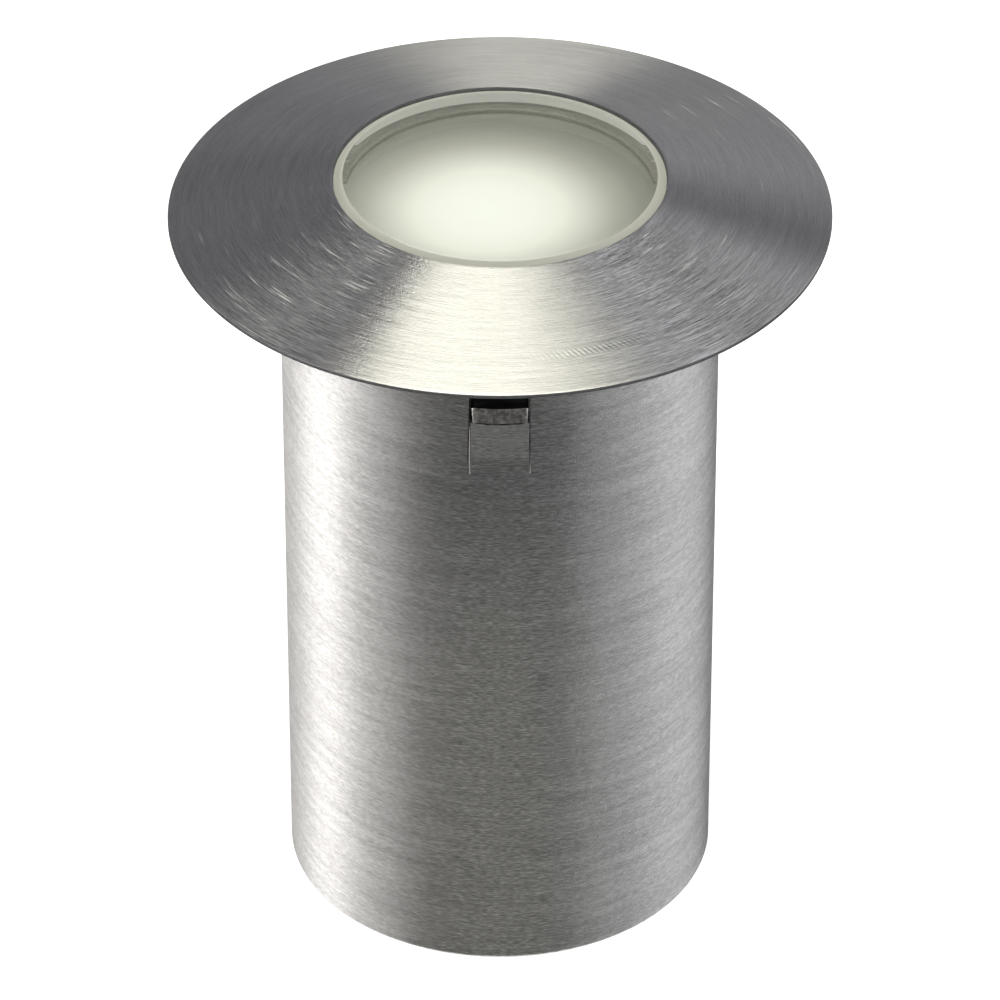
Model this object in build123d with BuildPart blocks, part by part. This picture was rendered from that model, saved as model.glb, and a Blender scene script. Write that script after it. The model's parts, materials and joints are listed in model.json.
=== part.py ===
from build123d import *
from math import cos, radians, sin, sqrt
import os

os.makedirs("parts", exist_ok=True)

# Recessed outdoor lamp, millimetres
# Origin at the centre of the sleeve's lower end, +Z up, the spring tongue that shows in front faces -Y.
# A tube-shaped mounting sleeve stands in the hole of a deck. The sealed lamp insert drops into it from
# above and lifts out by its rim for charging.
# The lamp is sized from the inside out: the cell sets the bore of the base cap's ring, and the walls and
# gaps around that ring add up to the sleeve, a 40 mm tube with a 1.5 mm wall.

# Mounting sleeve
sleeve_wall = 1.5
sleeve_length = 69.4
sleeve_edge_break = 0.15

# Spring tongues lanced out of the sleeve wall
tongue_count = 3
tongue_width = 5.15
tongue_length = 7.02
tongue_drop = 5.83
tongue_bend_angle = 25.5
tongue_kerf = 0.06
tongue_end_gap = 0.22
tongue_root_gap = 0.03
tongue_corner_r = 0.35

# Plug in the sleeve's lower end
foot_recess = 1.0
foot_thickness = 3.0
foot_fit = 0.04
drain_hole_r = 2.2
drain_hole_count = 4
drain_inset = 7.5
foot_centre_hole_r = 3.0
foot_rim_height = 1.6
foot_rim_wall = 1.4

# Bezel
bezel_r = 30.0
bezel_edge = 0.4
bezel_rise = 3.63
opening_r = 15.12
bezel_edge_break = 0.08

# Flat seal under the bezel
bezel_seal_thickness = 0.6
bezel_seal_gap = 0.1

# Collar under the bezel, which holds the glass stack
collar_play = 0.6
collar_length = 7.2
ledge_thickness = 1.2
ledge_width = 1.12
collar_wall = 1.5

# Glass, its gasket and the diffuser
glass_thickness = 4.0
glass_fit = 0.1
glass_bevel_width = 0.85
glass_bevel_height = 0.47
glass_lower_bevel = 0.35
lens_gasket_thickness = 0.5
diffuser_thickness = 1.5
diffuser_edge_break = 0.2

# Can of the insert
can_play = 0.9
can_wall = 1.5
can_thread_fit = 0.1
can_spigot_wall = 1.3
can_seal_thickness = 0.8
can_top_gap = 0.3

# Reflector
reflector_height = 7.0
reflector_gap = 0.2
reflector_fit = 0.2
reflector_lip = 1.4
reflector_foot_r = 3.6
reflector_foot_wall = 1.2
reflector_flange = 0.8
reflector_flange_inset = 0.9

# LED board and emitter
led_board_margin = 3.0
led_board_thickness = 1.6
emitter_side = 5.0
emitter_base = 0.7
emitter_dome_r = 1.75
board_screw_inset = 2.4
board_screw_count = 2
board_screw_head_r = 1.7
board_screw_head_height = 1.1
board_screw_r = 1.0
board_screw_length = 3.4
board_screw_fit = 0.05
board_screw_slot_width = 0.45
board_screw_slot_depth = 0.45

# Heat spreader
spreader_thickness = 2.5
spreader_fit = 0.05

# Leads to the LED board
lead_r = 0.6
lead_spacing = 5.0
lead_hole_fit = 0.5
lead_drop = 7.0
lead_straight = 3.5
lead_gap_above_board = 0.02
lead_bridge_length = 3.9
lead_bend_r = 1.4

# Cell and its contacts
cell_r = 9.15
cell_length = 35.0
cell_nub_r = 2.9
cell_nub_height = 1.0
cell_offset = 4.0
cell_ring_gap = 0.75
cell_edge_r = 0.6
contact_thickness = 0.3
contact_width = 4.0
contact_reach = 3.0
contact_tab_length = 4.0
lower_contact_height = 2.0

# Cradle
cradle_fit = 0.15
cradle_wall = 0.9
cradle_top_plate = 1.4
cradle_bottom_plate = 1.7
cradle_top_gap = 0.1
cradle_side_fit = 0.2
cradle_slot_width = 10.0
cradle_ring_gap = 0.15

# Control board
board_gap = 0.4
board_thickness = 1.6
board_edge_gap = 0.15
board_end_gap = 0.06
chip_height = 1.2
charger_chip_side = 4.5
charger_chip_rise = 8.9
driver_chip_width = 3.2
driver_chip_length = 6.4
inductor_r = 3.2
inductor_height = 2.6
power_parts_drop = 17.9
power_parts_x = 5.3

# Base cap
cap_thickness = 3.0
cap_ring_height = 6.0
cap_ring_wall = 2.1
cap_bore_fit = 0.1
cap_edge_break = 0.4
base_seal_section_r = 0.55
base_seal_height = 4.4
base_seal_groove = 0.06
cap_screw_height = 1.8
cap_screw_count = 3
cap_screw_first_angle = 30
cap_screw_r = 0.9
cap_screw_fit = 0.1
cap_screw_head_r = 1.8
cap_screw_head_height = 0.8
cap_screw_sink = 0.2
cap_screw_tip_wall = 0.3
cap_screw_slot_width = 0.4
cap_screw_slot_depth = 0.3

# Charge socket and its plug
socket_ring_gap = 0.27
socket_width = 8.94
socket_height = 3.2
socket_depth = 7.3
socket_wall = 0.3
socket_back_wall = 1.1
socket_tongue_width = 6.7
socket_tongue_height = 0.7
socket_tongue_length = 4.4
socket_mouth_recess = 2.0
socket_corner_r = 1.5
port_margin = 0.25
plug_fit = 0.12
plug_stem_length = 1.85
plug_flange_margin = 1.1
plug_flange_thickness = 1.0
plug_seat_gap = 0.04
plug_grip_length = 6.0
plug_grip_width = 1.3
plug_grip_height = 0.8
plug_edge_r = 0.3

# Power button and its switch
button_gap = 1.0
button_head_r = 2.8
button_head_height = 1.6
button_proud = 0.4
button_travel = 1.0
button_fit = 0.15
button_stem_r = 1.1
button_stem_fit = 0.1
button_stem_over_ring = 0.1
button_collar_r = 1.45
button_collar_height = 0.5
button_collar_gap = 0.08
button_dish_r = 8.0
button_dish_depth = 0.25
switch_width = 4.5
switch_height = 3.5
switch_depth = 3.0
switch_nub_r = 0.8
switch_nub_height = 0.25
switch_gap = 0.1

# Grip rings that hold the insert in the sleeve
grip_ring_section_r = 0.7
grip_ring_fit = 0.05
grip_groove_depth = 0.6
grip_groove_width = 1.55
grip_ring_rise = 3.0
grip_ring_drop = 5.5

# Radii worked out from the cell outwards
cell_y = -cell_offset
cell_holder_r = cell_r + cradle_fit
cap_ring_bore_r = cell_offset + cell_r + cell_ring_gap
cap_ring_r = cap_ring_bore_r + cap_ring_wall
can_bore_r = cap_ring_r + cap_bore_fit
can_r = can_bore_r + can_wall
sleeve_inner_r = can_r + can_play
sleeve_outer_r = sleeve_inner_r + sleeve_wall
collar_r = sleeve_inner_r - collar_play
thread_bore_r = collar_r - collar_wall
can_spigot_r = thread_bore_r - can_thread_fit
optic_bore_r = can_spigot_r - can_spigot_wall
window_r = opening_r - ledge_width
glass_r = opening_r - glass_fit
reflector_r = optic_bore_r - reflector_fit
reflector_mouth_r = reflector_r - reflector_lip
led_board_r = optic_bore_r - led_board_margin
board_screw_circle_r = led_board_r - board_screw_inset
drain_circle_r = sleeve_inner_r - drain_inset
grip_ring_r = sleeve_inner_r - grip_ring_fit - grip_ring_section_r
base_seal_r = can_bore_r - base_seal_groove - base_seal_section_r

# Heights worked out from the sleeve's upper end downwards
foot_top_z = foot_recess + foot_thickness
tongue_root_z = sleeve_length - tongue_drop - tongue_end_gap - tongue_length - tongue_root_gap
bezel_base_z = sleeve_length + bezel_seal_thickness
bezel_top_z = bezel_base_z + bezel_edge + bezel_rise
glass_z = bezel_top_z - glass_thickness
lens_gasket_z = glass_z - lens_gasket_thickness
diffuser_z = lens_gasket_z - diffuser_thickness
ledge_z = diffuser_z - ledge_thickness
collar_bottom_z = bezel_base_z - collar_length
can_shoulder_z = collar_bottom_z - can_seal_thickness
can_top_z = ledge_z - can_top_gap
reflector_top_z = ledge_z - reflector_gap
led_board_top_z = reflector_top_z - reflector_height
spreader_top_z = led_board_top_z - led_board_thickness
spreader_bottom_z = spreader_top_z - spreader_thickness
cradle_top_z = spreader_bottom_z - cradle_top_gap
cradle_plate_z = cradle_top_z - cradle_top_plate
cell_top_z = cradle_plate_z - contact_thickness
cell_bottom_z = cell_top_z - cell_length
cradle_floor_z = cell_bottom_z - lower_contact_height
cap_top_z = cradle_floor_z - cradle_bottom_plate
cap_bottom_z = cap_top_z - cap_thickness
cap_ring_top_z = cap_top_z + cap_ring_height
cap_screw_z = cap_top_z + cap_screw_height
base_seal_z = cap_top_z + base_seal_height
grip_ring_heights = (cap_ring_top_z + grip_ring_rise, spreader_bottom_z - grip_ring_drop)

# Control board, charge socket and button, beside the cell
board_inner_y = cell_y + cell_holder_r + cradle_wall + board_gap
board_outer_y = board_inner_y + board_thickness
board_half_width = sqrt((cap_ring_bore_r - cradle_ring_gap) ** 2 - board_outer_y**2) - board_edge_gap
board_bottom_z = cradle_floor_z + board_end_gap
board_top_z = cradle_plate_z - board_end_gap
socket_outer_y = board_outer_y + socket_height
socket_y = board_outer_y + socket_height / 2
socket_x = socket_width / 2 - sqrt((cap_ring_bore_r - socket_ring_gap) ** 2 - socket_outer_y**2)
socket_mouth_z = cap_bottom_z + socket_mouth_recess
socket_top_z = socket_mouth_z + socket_depth
plug_flange_edge_x = socket_x + socket_width / 2 + plug_flange_margin
button_x = plug_flange_edge_x + button_gap + button_head_r + button_fit
button_y = board_outer_y + switch_depth / 2
button_bottom_z = cap_bottom_z - button_proud
button_head_top_z = button_bottom_z + button_head_height
button_stem_top_z = cap_ring_top_z + button_stem_over_ring
button_pocket_top_z = button_head_top_z + button_travel + button_collar_gap
switch_nub_z = button_stem_top_z + button_travel + switch_gap
switch_z = switch_nub_z + switch_nub_height
lead_y = board_outer_y + lead_r
lead_start_z = board_top_z - lead_drop
lead_bridge_z = led_board_top_z + lead_r + lead_gap_above_board
lead_hole_y = (led_board_r + optic_bore_r) / 2
lead_end_y = lead_hole_y - lead_bridge_length

front_angle = -90.0
tongue_names = ("tongue_front", "tongue_right", "tongue_left")


def tongue_angle(number):
    """Compass angle of a spring tongue, counted from the one that faces the front."""
    return front_angle + 360.0 / tongue_count * number


def tongue_plane(angle, bend):
    """Plane at a tongue's root: its origin on the fold line, its normal along the tongue."""
    out_x = cos(radians(angle))
    out_y = sin(radians(angle))
    lean = sin(radians(bend))
    return Plane(
        origin=(sleeve_outer_r * out_x, sleeve_outer_r * out_y, tongue_root_z),
        x_dir=(-out_y, out_x, 0),
        z_dir=(out_x * lean, out_y * lean, cos(radians(bend))),
    )


def screw_plane(angle, radius):
    """Plane across a radial screw of the base cap, its normal pointing out of the can."""
    out_x = cos(radians(angle))
    out_y = sin(radians(angle))
    return Plane(
        origin=(radius * out_x, radius * out_y, cap_screw_z),
        x_dir=(-out_y, out_x, 0),
        z_dir=(out_x, out_y, 0),
    )


cap_screw_angles = [
    cap_screw_first_angle + 360.0 / cap_screw_count * number for number in range(cap_screw_count)
]

# Mounting sleeve: a length of tube with a window behind each tongue
with BuildPart() as mounting_sleeve:
    with BuildSketch():
        Circle(sleeve_outer_r)
        Circle(sleeve_inner_r, mode=Mode.SUBTRACT)
    extrude(amount=sleeve_length)
    end_edges = mounting_sleeve.edges().filter_by(GeomType.CIRCLE)
    chamfer(end_edges, length=sleeve_edge_break)
    for number in range(tongue_count):
        with BuildSketch(tongue_plane(tongue_angle(number), 0)):
            Rectangle(tongue_width + 2 * tongue_kerf, 2 * (sleeve_outer_r - sleeve_inner_r) + sleeve_wall)
        extrude(amount=tongue_root_gap + tongue_length + tongue_end_gap, mode=Mode.SUBTRACT)
mounting_sleeve.part.label = "mounting_sleeve"
export_step(mounting_sleeve.part, "parts/mounting_sleeve.step")

# Spring tongues: strips of the same wall, folded out about their lower edge
for number in range(tongue_count):
    root_plane = tongue_plane(tongue_angle(number), tongue_bend_angle)
    with BuildPart() as tongue:
        with BuildSketch(root_plane.offset(tongue_root_gap)):
            with Locations((0, sleeve_outer_r)):
                Circle(sleeve_outer_r)
                Circle(sleeve_inner_r, mode=Mode.SUBTRACT)
            Rectangle(tongue_width, 2 * sleeve_outer_r, mode=Mode.INTERSECT)
            with Locations((0, 2 * sleeve_outer_r)):
                Rectangle(tongue_width, 2 * sleeve_outer_r, mode=Mode.SUBTRACT)
        extrude(amount=tongue_length)
        side_edges = tongue.edges().filter_by(Axis(root_plane.origin, root_plane.y_dir))
        tip_corners = side_edges.sort_by(Axis(root_plane.origin, root_plane.z_dir))[-2:]
        fillet(tip_corners, radius=tongue_corner_r)
    tongue.part.label = tongue_names[number]
    export_step(tongue.part, "parts/" + tongue_names[number] + ".step")

# Plug in the sleeve's lower end, with drain holes
with BuildPart() as sleeve_base:
    with BuildSketch(Plane.XY.offset(foot_recess)):
        Circle(sleeve_inner_r - foot_fit)
    extrude(amount=foot_thickness)
    with BuildSketch(Plane.XY.offset(foot_top_z - foot_rim_height)):
        Circle(sleeve_inner_r - foot_fit - foot_rim_wall)
    extrude(amount=foot_rim_height, mode=Mode.SUBTRACT)
    with BuildSketch(Plane.XY.offset(foot_recess)):
        Circle(foot_centre_hole_r)
        with PolarLocations(drain_circle_r, drain_hole_count):
            Circle(drain_hole_r)
    extrude(amount=foot_thickness, mode=Mode.SUBTRACT)
sleeve_base.part.label = "sleeve_base"
export_step(sleeve_base.part, "parts/sleeve_base.step")

# Bezel: a shallow turned cone with a flat underside
with BuildPart() as bezel:
    with BuildSketch(Plane.XZ):
        with BuildLine():
            Polyline(
                (opening_r, bezel_base_z),
                (bezel_r - bezel_edge_break, bezel_base_z),
                (bezel_r, bezel_base_z + bezel_edge_break),
                (bezel_r, bezel_base_z + bezel_edge),
                (opening_r, bezel_top_z),
                close=True,
            )
        make_face()
    revolve(axis=Axis.Z)
bezel.part.label = "bezel"
export_step(bezel.part, "parts/bezel.step")

# Flat seal between the bezel and the sleeve's upper end
with BuildPart() as bezel_seal:
    with BuildSketch(Plane.XY.offset(sleeve_length)):
        Circle(sleeve_outer_r)
        Circle(collar_r + bezel_seal_gap, mode=Mode.SUBTRACT)
    extrude(amount=bezel_seal_thickness)
bezel_seal.part.label = "bezel_seal"
export_step(bezel_seal.part, "parts/bezel_seal.step")

# Collar: bored from above for the glass stack, from below for the can's thread
with BuildPart() as bezel_collar:
    with BuildSketch(Plane.XY.offset(collar_bottom_z)):
        Circle(collar_r)
    extrude(amount=collar_length)
    with BuildSketch(Plane.XY.offset(collar_bottom_z)):
        Circle(window_r)
    extrude(amount=collar_length, mode=Mode.SUBTRACT)
    with BuildSketch(Plane.XY.offset(diffuser_z)):
        Circle(opening_r)
    extrude(amount=bezel_base_z - diffuser_z, mode=Mode.SUBTRACT)
    with BuildSketch(Plane.XY.offset(collar_bottom_z)):
        Circle(thread_bore_r)
    extrude(amount=ledge_z - collar_bottom_z, mode=Mode.SUBTRACT)
bezel_collar.part.label = "bezel_collar"
export_step(bezel_collar.part, "parts/bezel_collar.step")

# Glass disc, flush with the bezel's inner edge, its upper edge ground to a bevel
with BuildPart() as glass_lens:
    with BuildSketch(Plane.XZ):
        with BuildLine():
            Polyline(
                (0, glass_z),
                (glass_r - glass_lower_bevel, glass_z),
                (glass_r, glass_z + glass_lower_bevel),
                (glass_r, bezel_top_z - glass_bevel_height),
                (glass_r - glass_bevel_width, bezel_top_z),
                (0, bezel_top_z),
                close=True,
            )
        make_face()
    revolve(axis=Axis.Z)
glass_lens.part.label = "glass_lens"
export_step(glass_lens.part, "parts/glass_lens.step")

# Gasket ring under the glass
with BuildPart() as lens_gasket:
    with BuildSketch(Plane.XY.offset(lens_gasket_z)):
        Circle(glass_r)
        Circle(window_r, mode=Mode.SUBTRACT)
    extrude(amount=lens_gasket_thickness)
lens_gasket.part.label = "lens_gasket"
export_step(lens_gasket.part, "parts/lens_gasket.step")

# Frosted diffuser disc on the collar's ledge
with BuildPart() as diffuser:
    with BuildSketch(Plane.XY.offset(diffuser_z)):
        Circle(glass_r)
    extrude(amount=diffuser_thickness)
    chamfer(diffuser.edges().group_by(Axis.Z)[0], length=diffuser_edge_break)
diffuser.part.label = "diffuser"
export_step(diffuser.part, "parts/diffuser.step")

# Reflector: a conical cup with a flange that fits the can's upper bore
with BuildPart() as reflector:
    with BuildSketch(Plane.XZ):
        with BuildLine():
            Polyline(
                (reflector_foot_r, led_board_top_z),
                (reflector_mouth_r, reflector_top_z),
                (reflector_r, reflector_top_z),
                (reflector_r, reflector_top_z - reflector_flange),
                (reflector_r - reflector_flange_inset, reflector_top_z - reflector_flange),
                (reflector_foot_r + reflector_foot_wall, led_board_top_z),
                close=True,
            )
        make_face()
    revolve(axis=Axis.Z)
reflector.part.label = "reflector"
export_step(reflector.part, "parts/reflector.step")

# LED emitter: a square base with a domed lens
with BuildPart() as led_emitter:
    with BuildSketch(Plane.XY.offset(led_board_top_z)):
        Rectangle(emitter_side, emitter_side)
    extrude(amount=emitter_base)
    with BuildSketch(Plane.XZ):
        with BuildLine():
            Line((0, led_board_top_z), (emitter_dome_r, led_board_top_z))
            Line((emitter_dome_r, led_board_top_z), (emitter_dome_r, led_board_top_z + emitter_base))
            RadiusArc(
                (emitter_dome_r, led_board_top_z + emitter_base),
                (0, led_board_top_z + emitter_base + emitter_dome_r),
                -emitter_dome_r,
            )
            Line((0, led_board_top_z + emitter_base + emitter_dome_r), (0, led_board_top_z))
        make_face()
    revolve(axis=Axis.Z)
led_emitter.part.label = "led_emitter"
export_step(led_emitter.part, "parts/led_emitter.step")

# Round LED board
with BuildPart() as led_board:
    with BuildSketch(Plane.XY.offset(spreader_top_z)):
        Circle(led_board_r)
        with PolarLocations(board_screw_circle_r, board_screw_count):
            Circle(board_screw_r + board_screw_fit, mode=Mode.SUBTRACT)
    extrude(amount=led_board_thickness)
led_board.part.label = "led_board"
export_step(led_board.part, "parts/led_board.step")

# Screws of the LED board
with BuildPart() as board_screws:
    with BuildSketch(Plane.XY.offset(led_board_top_z)):
        with PolarLocations(board_screw_circle_r, board_screw_count):
            Circle(board_screw_head_r)
    extrude(amount=board_screw_head_height)
    with BuildSketch(Plane.XY.offset(led_board_top_z)):
        with PolarLocations(board_screw_circle_r, board_screw_count):
            Circle(board_screw_r)
    extrude(amount=-board_screw_length)
    with BuildSketch(Plane.XY.offset(led_board_top_z + board_screw_head_height)):
        with PolarLocations(board_screw_circle_r, board_screw_count):
            Rectangle(2 * board_screw_head_r, board_screw_slot_width)
    extrude(amount=-board_screw_slot_depth, mode=Mode.SUBTRACT)
board_screws.part.label = "board_screws"
export_step(board_screws.part, "parts/board_screws.step")

# Heat spreader: an aluminium disc against the can's inner step
with BuildPart() as heat_spreader:
    with BuildSketch(Plane.XY.offset(spreader_bottom_z)):
        Circle(can_bore_r - spreader_fit)
        for lead_side in (-1, 1):
            with Locations((lead_side * lead_spacing / 2, lead_hole_y)):
                Circle(lead_r + lead_hole_fit, mode=Mode.SUBTRACT)
    extrude(amount=spreader_thickness)
    with BuildSketch(Plane.XY.offset(spreader_top_z)):
        with PolarLocations(board_screw_circle_r, board_screw_count):
            Circle(board_screw_r + board_screw_fit)
    extrude(amount=-(board_screw_length - led_board_thickness + board_screw_fit), mode=Mode.SUBTRACT)
heat_spreader.part.label = "heat_spreader"
export_step(heat_spreader.part, "parts/heat_spreader.step")

# Can: the sealed housing under the collar
with BuildPart() as inner_can:
    with BuildSketch(Plane.XY.offset(cap_top_z)):
        Circle(can_r)
    extrude(amount=can_shoulder_z - cap_top_z)
    with BuildSketch(Plane.XY.offset(can_shoulder_z)):
        Circle(can_spigot_r)
    extrude(amount=can_top_z - can_shoulder_z)
    with BuildSketch(Plane.XY.offset(cap_top_z)):
        Circle(optic_bore_r)
    extrude(amount=can_top_z - cap_top_z, mode=Mode.SUBTRACT)
    with BuildSketch(Plane.XY.offset(cap_top_z)):
        Circle(can_bore_r)
    extrude(amount=spreader_top_z - cap_top_z, mode=Mode.SUBTRACT)
    for ring_z in grip_ring_heights:
        with BuildSketch(Plane.XY.offset(ring_z - grip_groove_width / 2)):
            Circle(can_r)
            Circle(can_r - grip_groove_depth, mode=Mode.SUBTRACT)
        extrude(amount=grip_groove_width, mode=Mode.SUBTRACT)
    for angle in cap_screw_angles:
        with BuildSketch(screw_plane(angle, cap_ring_bore_r)):
            Circle(cap_screw_r + cap_screw_fit)
        extrude(amount=can_r - cap_ring_bore_r, mode=Mode.SUBTRACT)
        with BuildSketch(screw_plane(angle, can_r - cap_screw_sink - cap_screw_head_height)):
            Circle(cap_screw_head_r + cap_screw_fit)
        extrude(amount=cap_screw_sink + cap_screw_head_height, mode=Mode.SUBTRACT)
inner_can.part.label = "inner_can"
export_step(inner_can.part, "parts/inner_can.step")

# Flat seal between the can's shoulder and the collar
with BuildPart() as can_seal:
    with BuildSketch(Plane.XY.offset(can_shoulder_z)):
        Circle(can_r)
        Circle(can_spigot_r + can_thread_fit, mode=Mode.SUBTRACT)
    extrude(amount=can_seal_thickness)
can_seal.part.label = "can_seal"
export_step(can_seal.part, "parts/can_seal.step")

# Rubber rings around the can that grip the sleeve's bore
with BuildPart() as grip_rings:
    with BuildSketch(Plane.XZ):
        for ring_z in grip_ring_heights:
            with Locations((grip_ring_r, ring_z)):
                Circle(grip_ring_section_r)
    revolve(axis=Axis.Z)
grip_rings.part.label = "grip_rings"
export_step(grip_rings.part, "parts/grip_rings.step")

# Cradle: two plates joined by an open holder around the cell
with BuildPart() as battery_cradle:
    with BuildSketch(Plane.XY.offset(cap_top_z)):
        Circle(cap_ring_bore_r - cradle_ring_gap)
    extrude(amount=cradle_bottom_plate)
    with BuildSketch(Plane.XY.offset(cradle_plate_z)):
        Circle(can_bore_r - cradle_side_fit)
    extrude(amount=cradle_top_plate)
    with BuildSketch(Plane.XY.offset(cradle_floor_z)):
        with Locations((0, cell_y)):
            Circle(cell_holder_r + cradle_wall)
        Circle(cap_ring_bore_r - cradle_ring_gap, mode=Mode.INTERSECT)
    extrude(amount=cap_ring_top_z - cradle_floor_z)
    with BuildSketch(Plane.XY.offset(cap_ring_top_z)):
        with Locations((0, cell_y)):
            Circle(cell_holder_r + cradle_wall)
    extrude(amount=cradle_plate_z - cap_ring_top_z)
    with BuildSketch(Plane.XY.offset(cradle_floor_z)):
        with Locations((0, cell_y)):
            Circle(cell_holder_r)
        with Locations((0, cell_y + cell_holder_r)):
            Rectangle(cradle_slot_width, cell_holder_r)
    extrude(amount=cradle_plate_z - cradle_floor_z, mode=Mode.SUBTRACT)
    with BuildSketch(Plane.XY.offset(cap_top_z)):
        with Locations((socket_x, socket_y)):
            Rectangle(socket_width + 2 * port_margin, socket_height + 2 * port_margin)
        with Locations((button_x, button_y)):
            Circle(button_collar_r + button_fit)
    extrude(amount=cradle_bottom_plate, mode=Mode.SUBTRACT)
    with BuildSketch(Plane.XY.offset(cradle_plate_z)):
        for lead_side in (-1, 1):
            with Locations((lead_side * lead_spacing / 2, lead_hole_y)):
                Circle(lead_r + lead_hole_fit)
    extrude(amount=cradle_top_plate, mode=Mode.SUBTRACT)
battery_cradle.part.label = "battery_cradle"
export_step(battery_cradle.part, "parts/battery_cradle.step")

# Rechargeable cell
with BuildPart() as battery_cell:
    with BuildSketch(Plane.XY.offset(cell_bottom_z)):
        with Locations((0, cell_y)):
            Circle(cell_r)
    extrude(amount=cell_length - cell_nub_height)
    fillet(battery_cell.edges().filter_by(GeomType.CIRCLE), radius=cell_edge_r)
    with BuildSketch(Plane.XY.offset(cell_top_z - cell_nub_height)):
        with Locations((0, cell_y)):
            Circle(cell_nub_r)
    extrude(amount=cell_nub_height)
battery_cell.part.label = "battery_cell"
export_step(battery_cell.part, "parts/battery_cell.step")

# Upper contact: a strip from the cell's nub to the control board
with BuildPart() as upper_contact:
    with BuildSketch(Plane.YZ.offset(-contact_width / 2)):
        with BuildLine():
            Polyline(
                (cell_y - contact_reach, cell_top_z),
                (board_inner_y - contact_thickness, cell_top_z),
                (board_inner_y - contact_thickness, cell_top_z - contact_tab_length),
                (board_inner_y, cell_top_z - contact_tab_length),
                (board_inner_y, cradle_plate_z),
                (cell_y - contact_reach, cradle_plate_z),
                close=True,
            )
        make_face()
    extrude(amount=contact_width)
upper_contact.part.label = "upper_contact"
export_step(upper_contact.part, "parts/upper_contact.step")

# Lower contact: a leaf spring folded back and up to the cell
with BuildPart() as lower_contact:
    with BuildSketch(Plane.YZ.offset(-contact_width / 2)):
        with BuildLine():
            Polyline(
                (board_inner_y, cradle_floor_z + contact_tab_length),
                (board_inner_y, cradle_floor_z),
                (cell_y - contact_reach, cradle_floor_z),
                (cell_y - contact_reach, cradle_floor_z + 2 * contact_thickness),
                (cell_y + contact_reach, cell_bottom_z),
                (cell_y + contact_reach, cell_bottom_z - contact_thickness),
                (cell_y - contact_reach + 2 * contact_thickness, cradle_floor_z + contact_thickness),
                (board_inner_y - contact_thickness, cradle_floor_z + contact_thickness),
                (board_inner_y - contact_thickness, cradle_floor_z + contact_tab_length),
                close=True,
            )
        make_face()
    extrude(amount=contact_width)
lower_contact.part.label = "lower_contact"
export_step(lower_contact.part, "parts/lower_contact.step")

# Control board with its larger components
with BuildPart() as control_board:
    with BuildSketch(Plane.XZ.offset(-board_outer_y)):
        with Locations((0, (board_bottom_z + board_top_z) / 2)):
            Rectangle(2 * board_half_width, board_top_z - board_bottom_z)
    extrude(amount=board_thickness)
    with BuildSketch(Plane.XZ.offset(-board_outer_y)):
        with Locations((socket_x, socket_top_z + charger_chip_rise)):
            Rectangle(charger_chip_side, charger_chip_side)
        with Locations((power_parts_x, board_top_z - power_parts_drop)):
            Rectangle(driver_chip_width, driver_chip_length)
    extrude(amount=-chip_height)
    with BuildSketch(Plane.XZ.offset(-board_outer_y)):
        with Locations((-power_parts_x, board_top_z - power_parts_drop)):
            Circle(inductor_r)
    extrude(amount=-inductor_height)
control_board.part.label = "control_board"
export_step(control_board.part, "parts/control_board.step")

# Charge socket: a thin shell with a contact tongue, mouth down
with BuildPart() as charge_socket:
    with BuildSketch(Plane.XY.offset(socket_mouth_z)):
        with Locations((socket_x, socket_y)):
            RectangleRounded(socket_width, socket_height, socket_corner_r)
    extrude(amount=socket_depth)
    with BuildSketch(Plane.XY.offset(socket_mouth_z)):
        with Locations((socket_x, socket_y)):
            RectangleRounded(
                socket_width - 2 * socket_wall,
                socket_height - 2 * socket_wall,
                socket_corner_r - socket_wall,
            )
    extrude(amount=socket_depth - socket_back_wall, mode=Mode.SUBTRACT)
    with BuildSketch(Plane.XY.offset(socket_top_z - socket_back_wall)):
        with Locations((socket_x, socket_y)):
            Rectangle(socket_tongue_width, socket_tongue_height)
    extrude(amount=-socket_tongue_length)
charge_socket.part.label = "charge_socket"
export_step(charge_socket.part, "parts/charge_socket.step")

# Switch behind the power button
with BuildPart() as button_switch:
    with BuildSketch(Plane.XY.offset(switch_z)):
        with Locations((button_x, button_y)):
            Rectangle(switch_width, switch_depth)
    extrude(amount=switch_height)
    with BuildSketch(Plane.XY.offset(switch_nub_z)):
        with Locations((button_x, button_y)):
            Circle(switch_nub_r)
    extrude(amount=switch_nub_height)
button_switch.part.label = "button_switch"
export_step(button_switch.part, "parts/button_switch.step")

# Leads from the control board up through the spreader to the LED board
lead_names = ("lead_negative", "lead_positive")
for number in range(len(lead_names)):
    lead_x = (2 * number - 1) * lead_spacing / 2
    with BuildPart() as lead:
        with BuildLine():
            route = FilletPolyline(
                (lead_x, lead_y, lead_start_z),
                (lead_x, lead_y, lead_start_z + lead_straight),
                (lead_x, lead_hole_y, cradle_plate_z - lead_bend_r),
                (lead_x, lead_hole_y, lead_bridge_z),
                (lead_x, lead_end_y, lead_bridge_z),
                radius=lead_bend_r,
            )
        with BuildSketch(Plane.XY.offset(lead_start_z)):
            with Locations((lead_x, lead_y)):
                Circle(lead_r)
        sweep(path=route)
    lead.part.label = lead_names[number]
    export_step(lead.part, "parts/" + lead_names[number] + ".step")

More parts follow.
